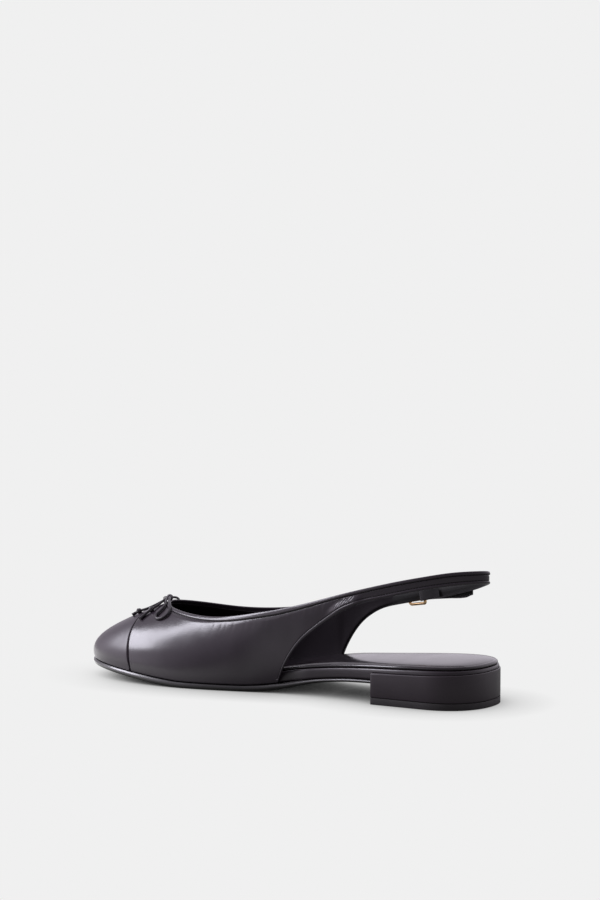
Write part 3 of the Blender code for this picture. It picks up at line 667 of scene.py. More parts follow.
# Sock: a thin foam pad covered with smooth lining leather and glued on the footbed. Its edge is turned
# under, a pressed line runs just inside it, and it is plump towards its middle.
SOCK_MARGIN = 0.9  # the footbed stands this far outside the sock
SOCK_HEIGHT = 2.2
SOCK_PLUMP = 0.9  # how much higher it is in the middle, over the heel
SOCK_BACK = 14  # length at the back over which it gets plump
SOCK_EDGE = [
    # inset, share of the height
    (0.6, 0.0),
    (0.2, 0.08),
    (0.02, 0.18),
    (0.0, 0.3),
    (0.05, 0.41),
    (0.16, 0.52),
    (0.35, 0.62),
    (0.62, 0.7),
    (0.95, 0.755),
    (1.3, 0.785),
    (1.6, 0.79),
    (1.85, 0.75),
    (2.1, 0.79),
    (2.5, 0.835),
    (3.1, 0.875),
    (4.0, 0.915),
    (5.2, 0.95),
    (6.8, 0.98),
    (9.0, 1.0),
    (13.0, 1.0),
]

sock_plan = sole_outline(SIDE_SPACES)
sock_inset = forefoot_margin(sock_plan, BOARD_MARGIN + SOCK_MARGIN, OUTSOLE_MARGIN + WALL + 4 * GAP)
sock_plan = inset(sock_plan, sock_inset)
sock_near, sock_far = sock_plan[: SIDE_SPACES + 1], sock_plan[: SIDE_SPACES - 1 : -1]


def sock_bottom(s, y=0):
    return footbed_top(s) + GAP


def sock_top(s, y=0):
    near = np.interp(s, sock_near[:, 0], sock_near[:, 1])
    far = np.interp(s, sock_far[:, 0], sock_far[:, 1])
    across = (2 * y - near - far) / (far - near + 1e-6)
    plump = np.clip(1 - across**2, 0, 1) * (1 - np.clip((SOCK_BACK - s) / SOCK_BACK, 0, 1) ** 2)
    return sock_bottom(s) + SOCK_HEIGHT + SOCK_PLUMP * plump * (1 - smooth_step(s, 85, 120))


sock = layer("sock_pad", edge_rings(sock_plan, SOCK_EDGE, sock_bottom, sock_top), sock_bottom, sock_top)
sock_leather = leather("sock_lining_leather", "#1b171b", "#211c21", rough=0.16, grain=0.05, uneven=0.10)
sock.data.materials.append(sock_leather)
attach(sock, "root")
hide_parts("sock")


# Upper: smooth calf, lined and lasted. The vamp runs back into two quarters: the big toe's carries the strap
# that goes round the heel, the little toe's carries the strap that passes through the buckle. The topline is
# bound with a folded strip, and the straps and rear edges are turned in and stitched.
HEEL_STRAP = [
    # s, y, lower edge, upper edge
    (45.0, 21.4, 53.1, 59.7),
    (33.0, 18.6, 56.2, 62.8),
    (19.0, 14.6, 60.3, 66.9),
    (8.4, 8.6, 64.2, 70.9),
    (3.6, 1.0, 66.3, 73.1),
    (8.0, -7.4, 66.8, 73.7),
    (19.0, -13.8, 65.7, 72.8),
    (31.0, -18.2, 63.6, 70.6),
    (44.0, -21.2, 60.6, 67.8),
    (57.0, -23.2, 57.3, 64.6),
    (69.0, -24.6, 54.2, 61.4),
]
MEDIAL_CUT = [
    # s, y low, z low, y top, z top
    (79.0, -25.5, 49.5, -25.5, 58.6),
    (90.0, -26.4, 42.0, -26.1, 55.3),
    (98.3, -26.8, 35.8, -26.4, 52.8),
    (105.4, -27.0, 29.5, -26.6, 50.8),
    (111.5, -26.9, 21.9, -26.7, 49.2),
    (116.6, -26.4, 13.6, -26.8, 47.9),
]
LATERAL_CUT = [
    (108.6, 29.0, 16.6, 28.9, 45.6),
    (104.6, 29.1, 24.6, 28.8, 46.4),
    (97.8, 28.8, 33.8, 28.5, 48.0),
    (90.6, 28.1, 39.7, 27.9, 49.8),
    (83.0, 27.3, 43.8, 27.1, 51.8),
]
VAMP = [
    # side, s low, s top, y top, z top, lean, rise, slope, dip
    ("medial", 120.5, 120.6, -26.8, 46.9, 18, 13, 84, 13),
    ("medial", 133.0, 132.0, -26.5, 44.5, 10, 13, 80, 12),
    ("medial", 147.0, 145.5, -25.4, 41.8, 8, 14, 68, 12),
    ("medial", 160.0, 157.5, -24.0, 40.0, 6, 15, 56, 12),
    ("medial", 173.0, 168.5, -22.3, 39.3, 6, 15, 48, 13),
    ("medial", 186.0, 179.0, -19.8, 39.5, 6, 15, 42, 15),
    ("medial", 199.0, 188.5, -16.4, 40.2, 6, 15, 37, 17),
    ("medial", 212.0, 196.0, -12.6, 41.2, 6, 14, 32, 19),
    ("medial", 226.0, 200.4, -8.2, 42.2, 11, 13, 27, 22),
    ("medial", 239.0, 202.4, -4.6, 42.8, 18, 14, 24, 25),
    ("tip", 250.0, 203.2, -1.2, 43.0, 20, 14, 22, 27),
    ("lateral", 238.0, 202.6, 2.2, 42.9, 18, 14, 24, 25),
    ("lateral", 224.0, 200.6, 6.4, 42.4, 11, 13, 27, 22),
    ("lateral", 210.0, 196.4, 11.4, 41.6, 6, 14, 32, 19),
    ("lateral", 197.0, 189.4, 16.4, 40.5, 6, 15, 37, 17),
    ("lateral", 184.0, 180.0, 20.8, 39.3, 6, 15, 42, 15),
    ("lateral", 170.0, 169.0, 24.4, 38.6, 6, 15, 48, 13),
    ("lateral", 155.0, 156.0, 26.9, 38.9, 6, 14, 57, 12),
    ("lateral", 140.0, 141.5, 28.4, 40.3, 8, 13, 68, 12),
    ("lateral", 126.0, 127.0, 29.0, 42.4, 9, 12, 80, 12),
    ("lateral", 112.0, 113.0, 29.0, 44.8, 8, 11, 88, 12),
]
BUCKLE_STRAP = [
    # s, y, lower edge, upper edge
    (75.0, 26.4, 46.3, 53.6),
    (65.4, 25.3, 48.6, 55.4),
    (59.0, 25.3, 50.1, 56.8),
    (53.0, 25.5, 51.2, 57.8),
    (45.0, 23.9, 52.4, 59.0),
    (36.0, 21.8, 53.6, 60.0),
    (27.0, 19.6, 54.9, 60.9),
    (21.6, 17.8, 56.6, 60.4),
]
CUT_BULGE = 0.035  # outward bulge of the ribs at the quarters' rear edges, as a share of their height
FEATHER_SPACES = 300  # fine spaces along each side of the line where the upper meets the sole
RIB_COUNTS = [44, 90, 56, 300, 44, 64]  # fold, heel strap, medial cut, vamp, lateral cut, buckle strap
BAR = np.array((53.0, 20.2, 54.5))  # the buckle's bar sits in the fold of the heel strap
RIM = np.array((66.4, 26.7, 51.9))  # its front rim lies over the other strap
BUCKLE_WIRE = 0.85
FOLD_RETURN = 10.0  # how far the folded end runs back behind the bar
CAP_SEAM = [
    # height on the side, s of the toe cap's rear edge
    (6.0, 210.1),
    (8.3, 210.6),
    (13.0, 211.8),
    (20.3, 213.7),
    (27.9, 215.7),
    (32.5, 216.2),
    (37.0, 217.6),
    (42.0, 219.0),
]
CAP_LEATHER = 0.55  # thickness of the toe cap over the vamp
CAP_CLEARANCE = 0.15  # the vamp lies this far under it
RIM_TURNS = 6  # points round each rolled rim of the wall
INSIDE_STEP = -3  # the inside of the wall has every third point, from the top down
CREASE_SPACING, CAP_SPACING = 0.28, 0.24  # ribs stand this close at the creases and at the cap's seam
BINDING_WIDTH, BINDING_WIDER = 1.9, 0.95  # on the straps, and what it gains round the throat
BINDING_RISE, BINDING_GROOVE = 0.46, 0.42
BEAD, BEAD_LOWER, BEAD_DEPTH = 1.25, 0.35, 0.06  # a faint line along the binding
HEM_WIDTH, HEM_WIDER = 1.5, 0.7  # on the straps, and what it gains on the quarters
HEM_RISE, HEM_GROOVE = 0.42, 0.32
HEM_FLARE = 1.15  # how far it stands out where the heel strap leaves the quarter
SEAM_OFFSET = 0.14  # the grooves of the seams lie this far past the binding and the hem
CREASE_RISE, PUCKER_RISE = 0.14, 0.05
RIM_MARGIN = 0.6  # the rims roll over from this far inside the edges
BAND_MARGIN, BAND_LEAD = 0.6, 0.35  # points stand close this far past and before the bands' inner edges
RIM_SKIVED, HEM_SKIVED, FOLD_SKIVED = 0.7, 0.4, 0.5  # how much thinner the leather is there
PUNCHES = (47.0, 41.0, 35.0)  # s of the spare holes in the strap's tail
PUNCH_RADIUS, PUNCH_LENGTH = 0.8, 2.6

buckle_length = np.linalg.norm(RIM - BAR)
buckle_ahead = (RIM - BAR) / buckle_length
buckle_up = np.array((0, 0, 1)) - buckle_ahead * buckle_ahead[2]
buckle_up /= np.linalg.norm(buckle_up)
buckle_out = np.cross(buckle_ahead, buckle_up)
buckle_out *= np.sign(buckle_out[1])


def straight_rib(low, top, outward=0.0):
    """Control points of a rib between two edges, with a slight bulge sideways."""
    low, top = np.array(low, float), np.array(top, float)
    third = (top - low) / 3
    bulge = np.array([0, outward * np.linalg.norm(top - low) * CUT_BULGE, 0])
    return [low, low + third + bulge, top - third + bulge, top]


def fold_ribs():
    """Ribs of the heel strap's end: forwards on the inside, round the buckle's bar, then back outside."""
    radius = BUCKLE_WIRE + GAP + WALL
    tilt = (HEEL_STRAP[0][2] - HEEL_STRAP[1][2]) / (HEEL_STRAP[0][0] - HEEL_STRAP[1][0])
    half = (HEEL_STRAP[0][3] - HEEL_STRAP[0][2]) / 2 * buckle_up / np.linalg.norm((1, tilt))
    path = [(-FOLD_RETURN, -radius + GAP / 2), (-FOLD_RETURN / 2, -radius + GAP / 2)]
    path += [(radius * math.cos(a), radius * math.sin(a)) for a in np.radians(np.arange(-90, 91, 30))]
    middles = [BAR + (forward, across, tilt * forward) for forward, across in path]
    return [straight_rib(middle - half, middle + half) for middle in middles]


feather_plan = inset(sole_outline(FEATHER_SPACES), OUTSOLE_MARGIN)
feather_run = np.gradient(feather_plan, axis=0)
feather_out = np.stack([feather_run[:, 1], -feather_run[:, 0]], -1)
feather_out /= np.linalg.norm(feather_run, axis=1)[:, None]
ribs = fold_ribs()
fold_end = len(ribs) - 1
ribs += [straight_rib((s, y, a), (s, y, b)) for s, y, a, b in HEEL_STRAP]
strap_end = len(ribs) - 1
for s, y, a, v, b in MEDIAL_CUT:  # they bulge a little less towards the sole
    ribs.append(straight_rib((s, y, a), (s, v, b), 0.3 * ((s - 79) / 38) ** 2 - 1))
vamp_first = len(ribs)
feather = []
for side, s_low, s_top, y_top, z_top, lean, rise, slope, dip in VAMP:
    if side == "medial":
        place = np.interp(s_low, feather_plan[:FEATHER_SPACES, 0], np.arange(FEATHER_SPACES))
    elif side == "lateral":
        back_half = np.arange(FEATHER_SPACES, len(feather_plan))
        place = np.interp(-s_low, -feather_plan[FEATHER_SPACES:, 0], back_half)
    else:
        place = FEATHER_SPACES
    feather.append(place)
    spot = feather_plan[int(round(place))]
    out = np.array([*feather_out[int(round(place))], 0])
    low = np.array([*spot, outsole_top(spot[0]) + GAP])
    top = np.array([s_top, y_top, z_top])
    lean, slope = math.radians(lean), math.radians(slope)
    low_handle = low + rise * (out * math.sin(lean) + np.array([0, 0, math.cos(lean)]))
    top_handle = top + dip * (out * math.cos(slope) - np.array([0, 0, math.sin(slope)]))
    ribs.append([low, low_handle, top_handle, top])
vamp_last = len(ribs) - 1
ribs += [straight_rib((s, y, a), (s, v, b), 1) for s, y, a, v, b in LATERAL_CUT]
cut_end = len(ribs) - 1
ribs += [straight_rib((s, y, a), (s, y, b)) for s, y, a, b in BUCKLE_STRAP]
ribs = np.array(ribs)
rib_along = chords(ribs.mean(axis=1))


def rib_points(at):
    """Bezier points of the ribs at distances along the upper."""
    handles = spline(rib_along, ribs[:, 1:].reshape(len(ribs), 9), at).reshape(-1, 3, 3)
    low = np.empty((len(at), 3))
    before, after = at < rib_along[vamp_first], at > rib_along[vamp_last]
    on_sole = ~before & ~after
    if before.any():
        low[before] = spline(rib_along[: vamp_first + 1], ribs[: vamp_first + 1, 0], at[before])
    if after.any():
        low[after] = spline(rib_along[vamp_last:], ribs[vamp_last:, 0], at[after])
    steps = np.column_stack([rib_along[vamp_first : vamp_last + 1], feather])
    place = profile(steps, 1, at[on_sole])
    for axis in range(2):
        low[on_sole, axis] = np.interp(place, np.arange(len(feather_plan)), feather_plan[:, axis])
    low[on_sole, 2] = outsole_top(low[on_sole, 0]) + GAP
    return np.concatenate([low[:, None], handles], axis=1)


def rib_curve(points, count=160):
    """Points along each rib's curve, and their distance from its lower edge."""
    t = np.linspace(0, 1, count)[None, :, None]
    low, a, b, top = (points[:, None, i] for i in range(4))
    curve = low * (1 - t) ** 3 + 3 * a * t * (1 - t) ** 2 + 3 * b * t * t * (1 - t) + top * t**3
    # the big toe's quarter runs into the vamp without a hollow
    s, y, z = curve[..., 0], curve[..., 1], curve[..., 2]
    joined = (s > 100) & (s < 144) & (y < 0)
    if joined.any():
        terms = [((s - 122) / 20) ** i * ((z - 27) / 20) ** j for i in range(4) for j in range(5)]
        fair, *_ = np.linalg.lstsq(np.stack([term[joined] for term in terms], -1), y[joined], rcond=None)
        fair = sum(share * term for share, term in zip(fair, terms))
        part = smooth_step(s, 101, 111) * (1 - smooth_step(s, 130, 143)) * (y < 0)
        curve[..., 1] = y + (fair - y) * part
    steps = np.linalg.norm(np.diff(curve, axis=1), axis=2)
    return curve, np.concatenate([np.zeros((len(points), 1)), np.cumsum(steps, axis=1)], axis=1)


def at_distances(curve, lengths, wanted):
    """The curve's points at the wanted distances from its lower edge, one row a rib."""
    rows = np.empty((*wanted.shape, 3))
    for i, (line, length, want) in enumerate(zip(curve, lengths, wanted)):
        for axis in range(3):
            rows[i, :, axis] = np.interp(want, length, line[:, axis])
    return rows


def outward_normals(rows):
    """Normals of a grid of points on the outside of the upper."""
    along, up = np.gradient(rows, axis=0), np.gradient(rows, axis=1)
    normals = np.cross(along, up)
    return normals / np.linalg.norm(normals, axis=2)[..., None]


def cap_lead(points):
    """How far points lie ahead of the toe cap's rear edge."""
    edge = profile(CAP_SEAM, 1, points[..., 2]) + smooth_step(points[..., 1], -6, 10)
    return points[..., 0] - edge


def cap_crossing(curve, lengths):
    """Where the toe cap's rear edge crosses each rib, as a distance from the rib's lower edge."""
    crossings = []
    for lead, length in zip(cap_lead(curve), lengths):
        past = np.argmin(lead) + 1
        crossings.append(np.interp(0, -lead[:past], length[:past]) if lead[0] > 0 else 0.0)
    return np.array(crossings)


def wall_loops(rows, normals, lift, thickness, turns=RIM_TURNS):
    """Closed sections of a wall with round edges. lift raises its outside, and its inside keeps its place."""
    up = np.gradient(rows, axis=1)
    up /= np.linalg.norm(up, axis=2)[..., None]
    outside = rows + normals * lift[..., None]
    thickness = np.broadcast_to(thickness, lift.shape)
    inside = (rows - normals * thickness[..., None])[:, ::INSIDE_STEP]
    rolls = []
    for end, begin in ((-1, 0), (0, math.pi)):
        angles = np.linspace(begin, begin + math.pi, turns + 2)
        radius = (thickness[:, end] + lift[:, end]) / 2
        middle = rows[:, end] + normals[:, end] * (lift[:, end] - radius)[:, None]
        turn = [
            middle + radius[:, None] * (math.cos(a) * normals[:, end] + math.sin(a) * up[:, end])
            for a in angles[1:-1]
        ]
        rolls.append(np.stack(turn, axis=1))
    loops = np.concatenate([outside, rolls[0], inside, rolls[1]], axis=1)
    return np.concatenate([loops, loops[:, :1]], axis=1)


rib_marks = [0, fold_end, strap_end, vamp_first, vamp_last, cut_end, len(ribs) - 1]
rib_at = [
    np.linspace(rib_along[a], rib_along[b], n, endpoint=False)
    for a, b, n in zip(rib_marks, rib_marks[1:], RIB_COUNTS)
]
rib_at = np.concatenate([*rib_at, rib_along[-1:]])
crease_from, crease_to = rib_along[strap_end] - 34, rib_along[strap_end] + 20
rib_at = rib_at[(rib_at < crease_from) | (rib_at > crease_to)]
rib_at = np.sort(np.concatenate([rib_at, np.arange(crease_from, crease_to, CREASE_SPACING)]))
# the ribs stand close where the cap's seam meets the sole, too
for seam_foot in (rib_along[vamp_first + 7], rib_along[vamp_first + 13]):
    rib_at = rib_at[np.abs(rib_at - seam_foot) > 6]
    rib_at = np.sort(np.concatenate([rib_at, np.arange(seam_foot - 6, seam_foot + 6, CAP_SPACING)]))
curve, lengths = rib_curve(rib_points(rib_at))
rib_length = lengths[:, -1]

# widths of the bound topline and of the turned and stitched edges
vamp_share = smooth_step(rib_at, rib_along[strap_end] + 12, rib_along[vamp_first]) * (
    1 - smooth_step(rib_at, rib_along[vamp_last], rib_along[cut_end] - 4)
)
free_edge = 1 - smooth_step(rib_at, rib_along[vamp_first] - 1.5, rib_along[vamp_first] + 1.5) * (
    1 - smooth_step(rib_at, rib_along[vamp_last] - 1.5, rib_along[vamp_last] + 1.5)
)
top_band = BINDING_WIDTH + BINDING_WIDER * vamp_share
bead = BEAD + BEAD_LOWER * vamp_share
low_band = HEM_WIDTH + HEM_WIDER * smooth_step(rib_at, rib_along[strap_end], rib_along[strap_end] + 15) * (
    1 - smooth_step(rib_at, rib_along[cut_end] - 15, rib_along[cut_end])
)

# narrower on the strap's pointed tail
top_band, low_band = np.minimum(top_band, 0.34 * rib_length), np.minimum(low_band, 0.32 * rib_length)

# points along each rib stand close at the hem, the toe cap's seam and the binding
seam_at = cap_crossing(curve, lengths)
stations = []
for length, top, low, seam in zip(rib_length, top_band, low_band, seam_at):
    first, last = low + BAND_MARGIN, length - top - BAND_MARGIN
    middle = first + min(1.5, 0.2 * (last - first))
    middle = min(max(seam, middle), last - 0.2 * (last - first))
    under, over = min(1.0, 0.66 * (middle - first)), min(1.6, 0.3 * (last - middle))
    stations.append(np.concatenate([
        np.linspace(RIM_MARGIN, low - BAND_LEAD, 4, endpoint=False),
        np.linspace(low - BAND_LEAD, first, 8, endpoint=False),
        np.linspace(first, middle - under, 6, endpoint=False),
        np.linspace(middle - under, middle + over, 14, endpoint=False),
        np.linspace(middle + over, last, 15, endpoint=False),
        np.linspace(last, length - top + BAND_LEAD, 8, endpoint=False),
        np.linspace(length - top + BAND_LEAD, length - RIM_MARGIN, 12),
    ]))
stations = np.array(stations)
skin = at_distances(curve, lengths, stations)
skin_normals = outward_normals(skin)
from_low, from_top = stations, rib_length[:, None] - stations


def band(distance, width):
    """A rounded swelling across a band of the given width."""
    return np.clip(1 - (2 * distance / width - 1) ** 2, 0, 1) ** 0.55


def binding(distance, width):
    """The roll of a folded strip: it slopes out from the rim, then turns in sharply to its seam."""
    t = np.clip(distance / width, 0, 1)
    turned_in = np.sqrt(np.clip(1 - ((t - 0.7) / 0.3) ** 2, 0, 1))
    return np.where(t < 0.7, np.sin(t / 0.7 * math.pi / 2), turned_in)


def ripple(distance, length, shift=0.0):
    """Waves of a given length along a distance."""
    return np.sin(2 * math.pi * distance / length + shift)


top_groove = np.exp(-(((from_top - top_band[:, None] - SEAM_OFFSET) / 0.27) ** 2))
low_groove = free_edge[:, None] * np.exp(-(((from_low - low_band[:, None] - SEAM_OFFSET) / 0.22) ** 2))
sewn = smooth_step(rib_at, rib_along[fold_end] - 6, rib_along[fold_end])
tail_end = smooth_step(rib_at, rib_along[-1] - 5, rib_along[-1] - 1.5)[:, None]
sewn = sewn[:, None] * (1 - tail_end)
bead_line = np.exp(-(((from_top - bead[:, None] - 0.05) / 0.15) ** 2))
lift = BINDING_RISE * binding(from_top, top_band[:, None]) - BEAD_DEPTH * bead_line
lift = sewn * (lift - BINDING_GROOVE * top_groove)
lift += sewn * (free_edge[:, None] * HEM_RISE * band(from_low, low_band[:, None]) - HEM_GROOVE * low_groove)
thin_fold = FOLD_SKIVED * (1 - smooth_step(rib_at, 0.0, 6.0))[:, None]  # at the end of the folded strap
lift -= thin_fold

# short slanting creases where the strap leaves the big toe's quarter, fainter along the strap
along = rib_at[:, None] - rib_along[strap_end]
panel_share = smooth_step(from_top, top_band[:, None] + 0.1, top_band[:, None] + 0.7)
panel_share = panel_share * smooth_step(from_low, low_band[:, None] + 0.1, low_band[:, None] + 0.7)
phase = along - 0.7 * (from_top - 3) + 0.3 * ripple(along, 5.1, 0.9 * from_top)
crease = ripple(phase, 1.5) + 0.5 * ripple(phase, 2.35, 1.0)
creased = smooth_step(along, 2.5, 5.0) * (1 - smooth_step(along, 13.0, 18.0))
creased += 0.15 * smooth_step(along, -32.0, -26.0) * (1 - smooth_step(along, 2.5, 5.0))
creased = creased * (0.75 + 0.35 * ripple(along, 4.3, 0.6 * from_top))
creased = creased * (0.7 + 0.4 * ripple(along / 2.9 + from_top / 3.1, 1.0))
lift += CREASE_RISE * crease * creased * panel_share

# the hem stands out where the strap leaves the quarter
flare = smooth_step(along, -4.0, 4.0) * (1 - smooth_step(along, 12.0, 24.0))
lift += HEM_FLARE * flare * (1 - smooth_step(from_low, low_band[:, None], low_band[:, None] + 4.5))

# puckers that hang from the topline's stitching
phase = along - 0.2 * (from_top - 2)
pucker = ripple(phase, 2.7) + 0.7 * ripple(phase, 4.3, 0.8) + 0.5 * ripple(phase, 7.1, 2.0)
hang = smooth_step(from_top, top_band[:, None] + 0.2, top_band[:, None] + 1.0)
hang = hang * np.exp(-np.clip(from_top - top_band[:, None] - 1, 0, None) / 3.5)
lift += PUCKER_RISE * pucker * hang * smooth_step(along, 14, 24) * (1 - smooth_step(along, 90, 120))

# the vamp is skived and runs under the toe cap, and swells a little just behind the seam
under_cap = cap_lead(skin)
lift -= (CAP_LEATHER + CAP_CLEARANCE) * smooth_step(under_cap, -0.75, 0.1)
lift += 0.06 * np.exp(-(((under_cap + 1.5) / 0.7) ** 2))

# the edges are skived before they are turned or bound
thin = WALL - RIM_SKIVED * (1 - smooth_step(from_top, 0.6, 3.0)) - thin_fold
thin = thin - HEM_SKIVED * free_edge[:, None] * (1 - smooth_step(from_low, 0.6, 3.0))
thin = thin - HEM_SKIVED * tail_end
upper_loops = wall_loops(skin, skin_normals, lift, thin)
# painted shade, stored in the seam attribute: darker in the stitched grooves, along the faint line on the
# binding, in the gap at the toe cap's edge and on the folded end of the heel strap
upper_seam_shade = np.zeros(upper_loops.shape[:2])
cap_gap = smooth_step(under_cap, -0.7, -0.3)
dark = 0.95 * top_groove**1.5 + 0.3 * bead_line + 0.8 * low_groove**1.5
folded = 1 - smooth_step(rib_at, rib_along[fold_end] - 5, rib_along[fold_end])[:, None]
upper_seam_shade[:, : skin.shape[1]] = np.clip(sewn * dark + cap_gap + 0.85 * folded, 0, 1)
# the back of the leather, below the binding that is folded over the rim, is painted dark as shade and made
# dull
from_rim = from_top[:, ::INSIDE_STEP]
inside_end = upper_loops.shape[1] - RIM_TURNS - 1
inside = slice(inside_end - from_rim.shape[1], inside_end)
turn_over = 0.4 + 1.4 * vamp_share[:, None]
upper_seam_shade[:, inside] = 0.94 * smooth_step(from_rim, turn_over, turn_over + 0.6)
upper = grid("upper_calf", upper_loops, upper_seam_shade)
close(upper, angle=50)

# three punched holes in the strap's tail, besides the one that the prong goes through
strap_s, strap_y, strap_low, strap_high = np.array(BUCKLE_STRAP)[::-1].T
strap_middle = (strap_s, strap_y - WALL / 2, (strap_low + strap_high) / 2)
punches = []
for s in PUNCHES:
    before, here, after = (
        in_frame([np.interp(at, strap_s, places) for places in strap_middle]) for at in (s - 1, s, s + 1)
    )
    ahead = Vector(after - before).normalized()
    out = (Vector((0, 1, 0)) - ahead * ahead.y).normalized()
    turned = out.to_track_quat("Z", "Y").to_euler()
    bpy.ops.object.select_all(action="DESELECT")
    bpy.ops.mesh.primitive_cylinder_add(
        vertices=20, radius=PUNCH_RADIUS * MM, depth=PUNCH_LENGTH * MM, location=here, rotation=turned
    )
    punches.append(bpy.context.object)
only(*punches)
bpy.ops.object.join()
cut_away(upper, punches[0], angle=50)
upper_leather = leather("upper_smooth_calf", "#262027", "#2c252d", rough=0.235, grain=0.2, uneven=0.12)
upper.data.materials.append(upper_leather)
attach(upper, "root")
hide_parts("upper")


# Toe cap: a second piece of calf laid over the front of the vamp. Its rear edge is turned in and sewn blind,
# so only a fine dark line shows across the toe.
CAP_FOOT = 0.45  # it begins where its seam stands this far over the sole
CAP_FULL = 0.85  # how far the stiffener pushes its sides out
CAP_HEM = 0.2  # its turned edge is doubled

cap_ribs = rib_at[seam_at > CAP_FOOT]
cap_at = np.linspace(cap_ribs[0], cap_ribs[-1], 170)
cap_curve, cap_lengths = rib_curve(rib_points(cap_at))
cap_seam = cap_crossing(cap_curve, cap_lengths)
cap_edge = CAP_LEATHER / 2
cap_stations = np.array([
    np.concatenate([
        np.linspace(min(cap_edge, 0.3 * seam), 0.85 * seam, 26, endpoint=False),
        seam - (seam * 0.15) * (1 - np.linspace(0, 1, 9)) - min(cap_edge, 0.3 * seam) * np.linspace(0, 1, 9),
    ])
    for seam in cap_seam
])
cap_skin = at_distances(cap_curve, cap_lengths, cap_stations)
cap_drop = -0.10 * np.exp(-((cap_seam[:, None] - cap_stations) / 0.6))
# the stiffener under the cap makes its sides a little fuller than the vamp's, less so towards the tip
cap_full = CAP_FULL * np.exp(-(((cap_stations - 10.0) / 10.0) ** 2)) * smooth_step(cap_stations, 0.0, 5.0)
cap_full *= 1 - 0.75 * smooth_step(cap_skin[:, :1, 0], 228, 243)
cap_full += CAP_HEM * np.exp(-np.clip(cap_lead(cap_skin), 0, None) / 5)
cap_loops = wall_loops(cap_skin, outward_normals(cap_skin), cap_drop + cap_full, CAP_LEATHER + cap_full)
cap = grid("toe_cap_calf", cap_loops)
close(cap, angle=50)
cap_leather = leather("toe_cap_calf", "#282129", "#2e262f", rough=0.38, grain=0.2, uneven=0.06)
cap.data.materials.append(cap_leather)
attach(cap, "root")


# Lining: thin smooth leather inside the vamp and quarters, glued to the calf and trimmed just below the
# binding. It thins out at both ends, where the quarters run into the straps.
LINING = 0.36  # its thickness
LINING_END = 14  # length of its thinned ends

lining_at = np.linspace(rib_along[strap_end] + 10, rib_along[cut_end] + 14, 260)
lining_curve, lining_lengths = rib_curve(rib_points(lining_at))
lining_stations = np.array([np.linspace(1.4, length - 2.2, 26) for length in lining_lengths[:, -1]])
lining_rows = at_distances(lining_curve, lining_lengths, lining_stations)
lining_normals = outward_normals(lining_rows)
covered = smooth_step(lining_at, lining_at[0], lining_at[0] + LINING_END)
covered = covered * (1 - smooth_step(lining_at, lining_at[-1] - LINING_END, lining_at[-1]))
lining_depth = WALL + 0.04 - 0.7 * (1 - covered)
lining_outside = lining_rows - lining_normals * lining_depth[:, None, None]
lining_loops = wall_loops(lining_outside, lining_normals, 0 * lining_stations, LINING, turns=3)
lining = grid("lining_leather", lining_loops)
close(lining, angle=50)
lining_leather = leather("lining_leather", "#1a161a", "#201b20", rough=0.45, grain=0.2, uneven=0.05)
lining_leather.node_tree.nodes["Principled BSDF"].inputs["Specular IOR Level"].default_value = 0.2
lining.data.materials.append(lining_leather)
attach(lining, "root")


# Stitching: black waxed thread, sewn by machine along the groove under the topline's binding and along the
# turned lower edges of the straps and quarters. Each stitch sinks a little at both ends.
STITCH_PITCH = 1.6
STITCH_SIZE = (0.6, 0.24, 0.2)  # half length along the seam, half width, half height

bpy.ops.object.select_all(action="DESELECT")
bpy.ops.mesh.primitive_uv_sphere_add(segments=8, ring_count=6, radius=1)
stitch = bpy.context.object
seam_runs = [
    # distance from the lower edge, first and last place along the upper
    (rib_length - top_band - SEAM_OFFSET, rib_along[fold_end] + 1, rib_along[-1] - 7),
    (low_band + SEAM_OFFSET, rib_along[fold_end] + 1, rib_along[vamp_first] - 1),
    (low_band + SEAM_OFFSET, rib_along[vamp_last] + 1, rib_along[-1] - 7),
]
stitches = []
for wanted, begin, end in seam_runs:
    kept = (rib_at > begin) & (rib_at < end)
    line = at_distances(curve[kept], lengths[kept], wanted[kept][:, None])[:, 0]
    sunk = np.argmin(np.abs(stations[kept] - wanted[kept][:, None]), axis=1)
    facing = skin_normals[kept][np.arange(kept.sum()), sunk]
    depth = lift[kept][np.arange(kept.sum()), sunk]
    line = in_frame(line + facing * (depth + 0.05)[:, None])
    facing = facing * (-1, 1, 1)
    run = chords(line)
    for distance in np.arange(STITCH_PITCH * MM, run[-1] - STITCH_PITCH * MM, STITCH_PITCH * MM):
        place, before, after, out = (
            Vector([np.interp(d, run, values[:, axis]) for axis in range(3)])
            for d, values in (
                (distance, line),
                (distance - STITCH_PITCH * MM / 4, line),
                (distance + STITCH_PITCH * MM / 4, line),
                (distance, facing),
            )
        )
        ahead = (after - before).normalized()
        side = out.cross(ahead).normalized()
        axes = Matrix((ahead, side, ahead.cross(side))).transposed().to_4x4()
        copy = stitch.copy()
        copy.data = stitch.data.copy()
        copy.data.transform(Matrix.Translation(place) @ axes @ Matrix.Diagonal((*STITCH_SIZE, 1 / MM)) * MM)
        scene.collection.objects.link(copy)
        stitches.append(copy)
bpy.data.objects.remove(stitch)
only(*stitches)
bpy.ops.object.join()
stitching = stitches[0]
stitching.name = stitching.data.name = "stitching_thread"
bpy.ops.object.shade_smooth()

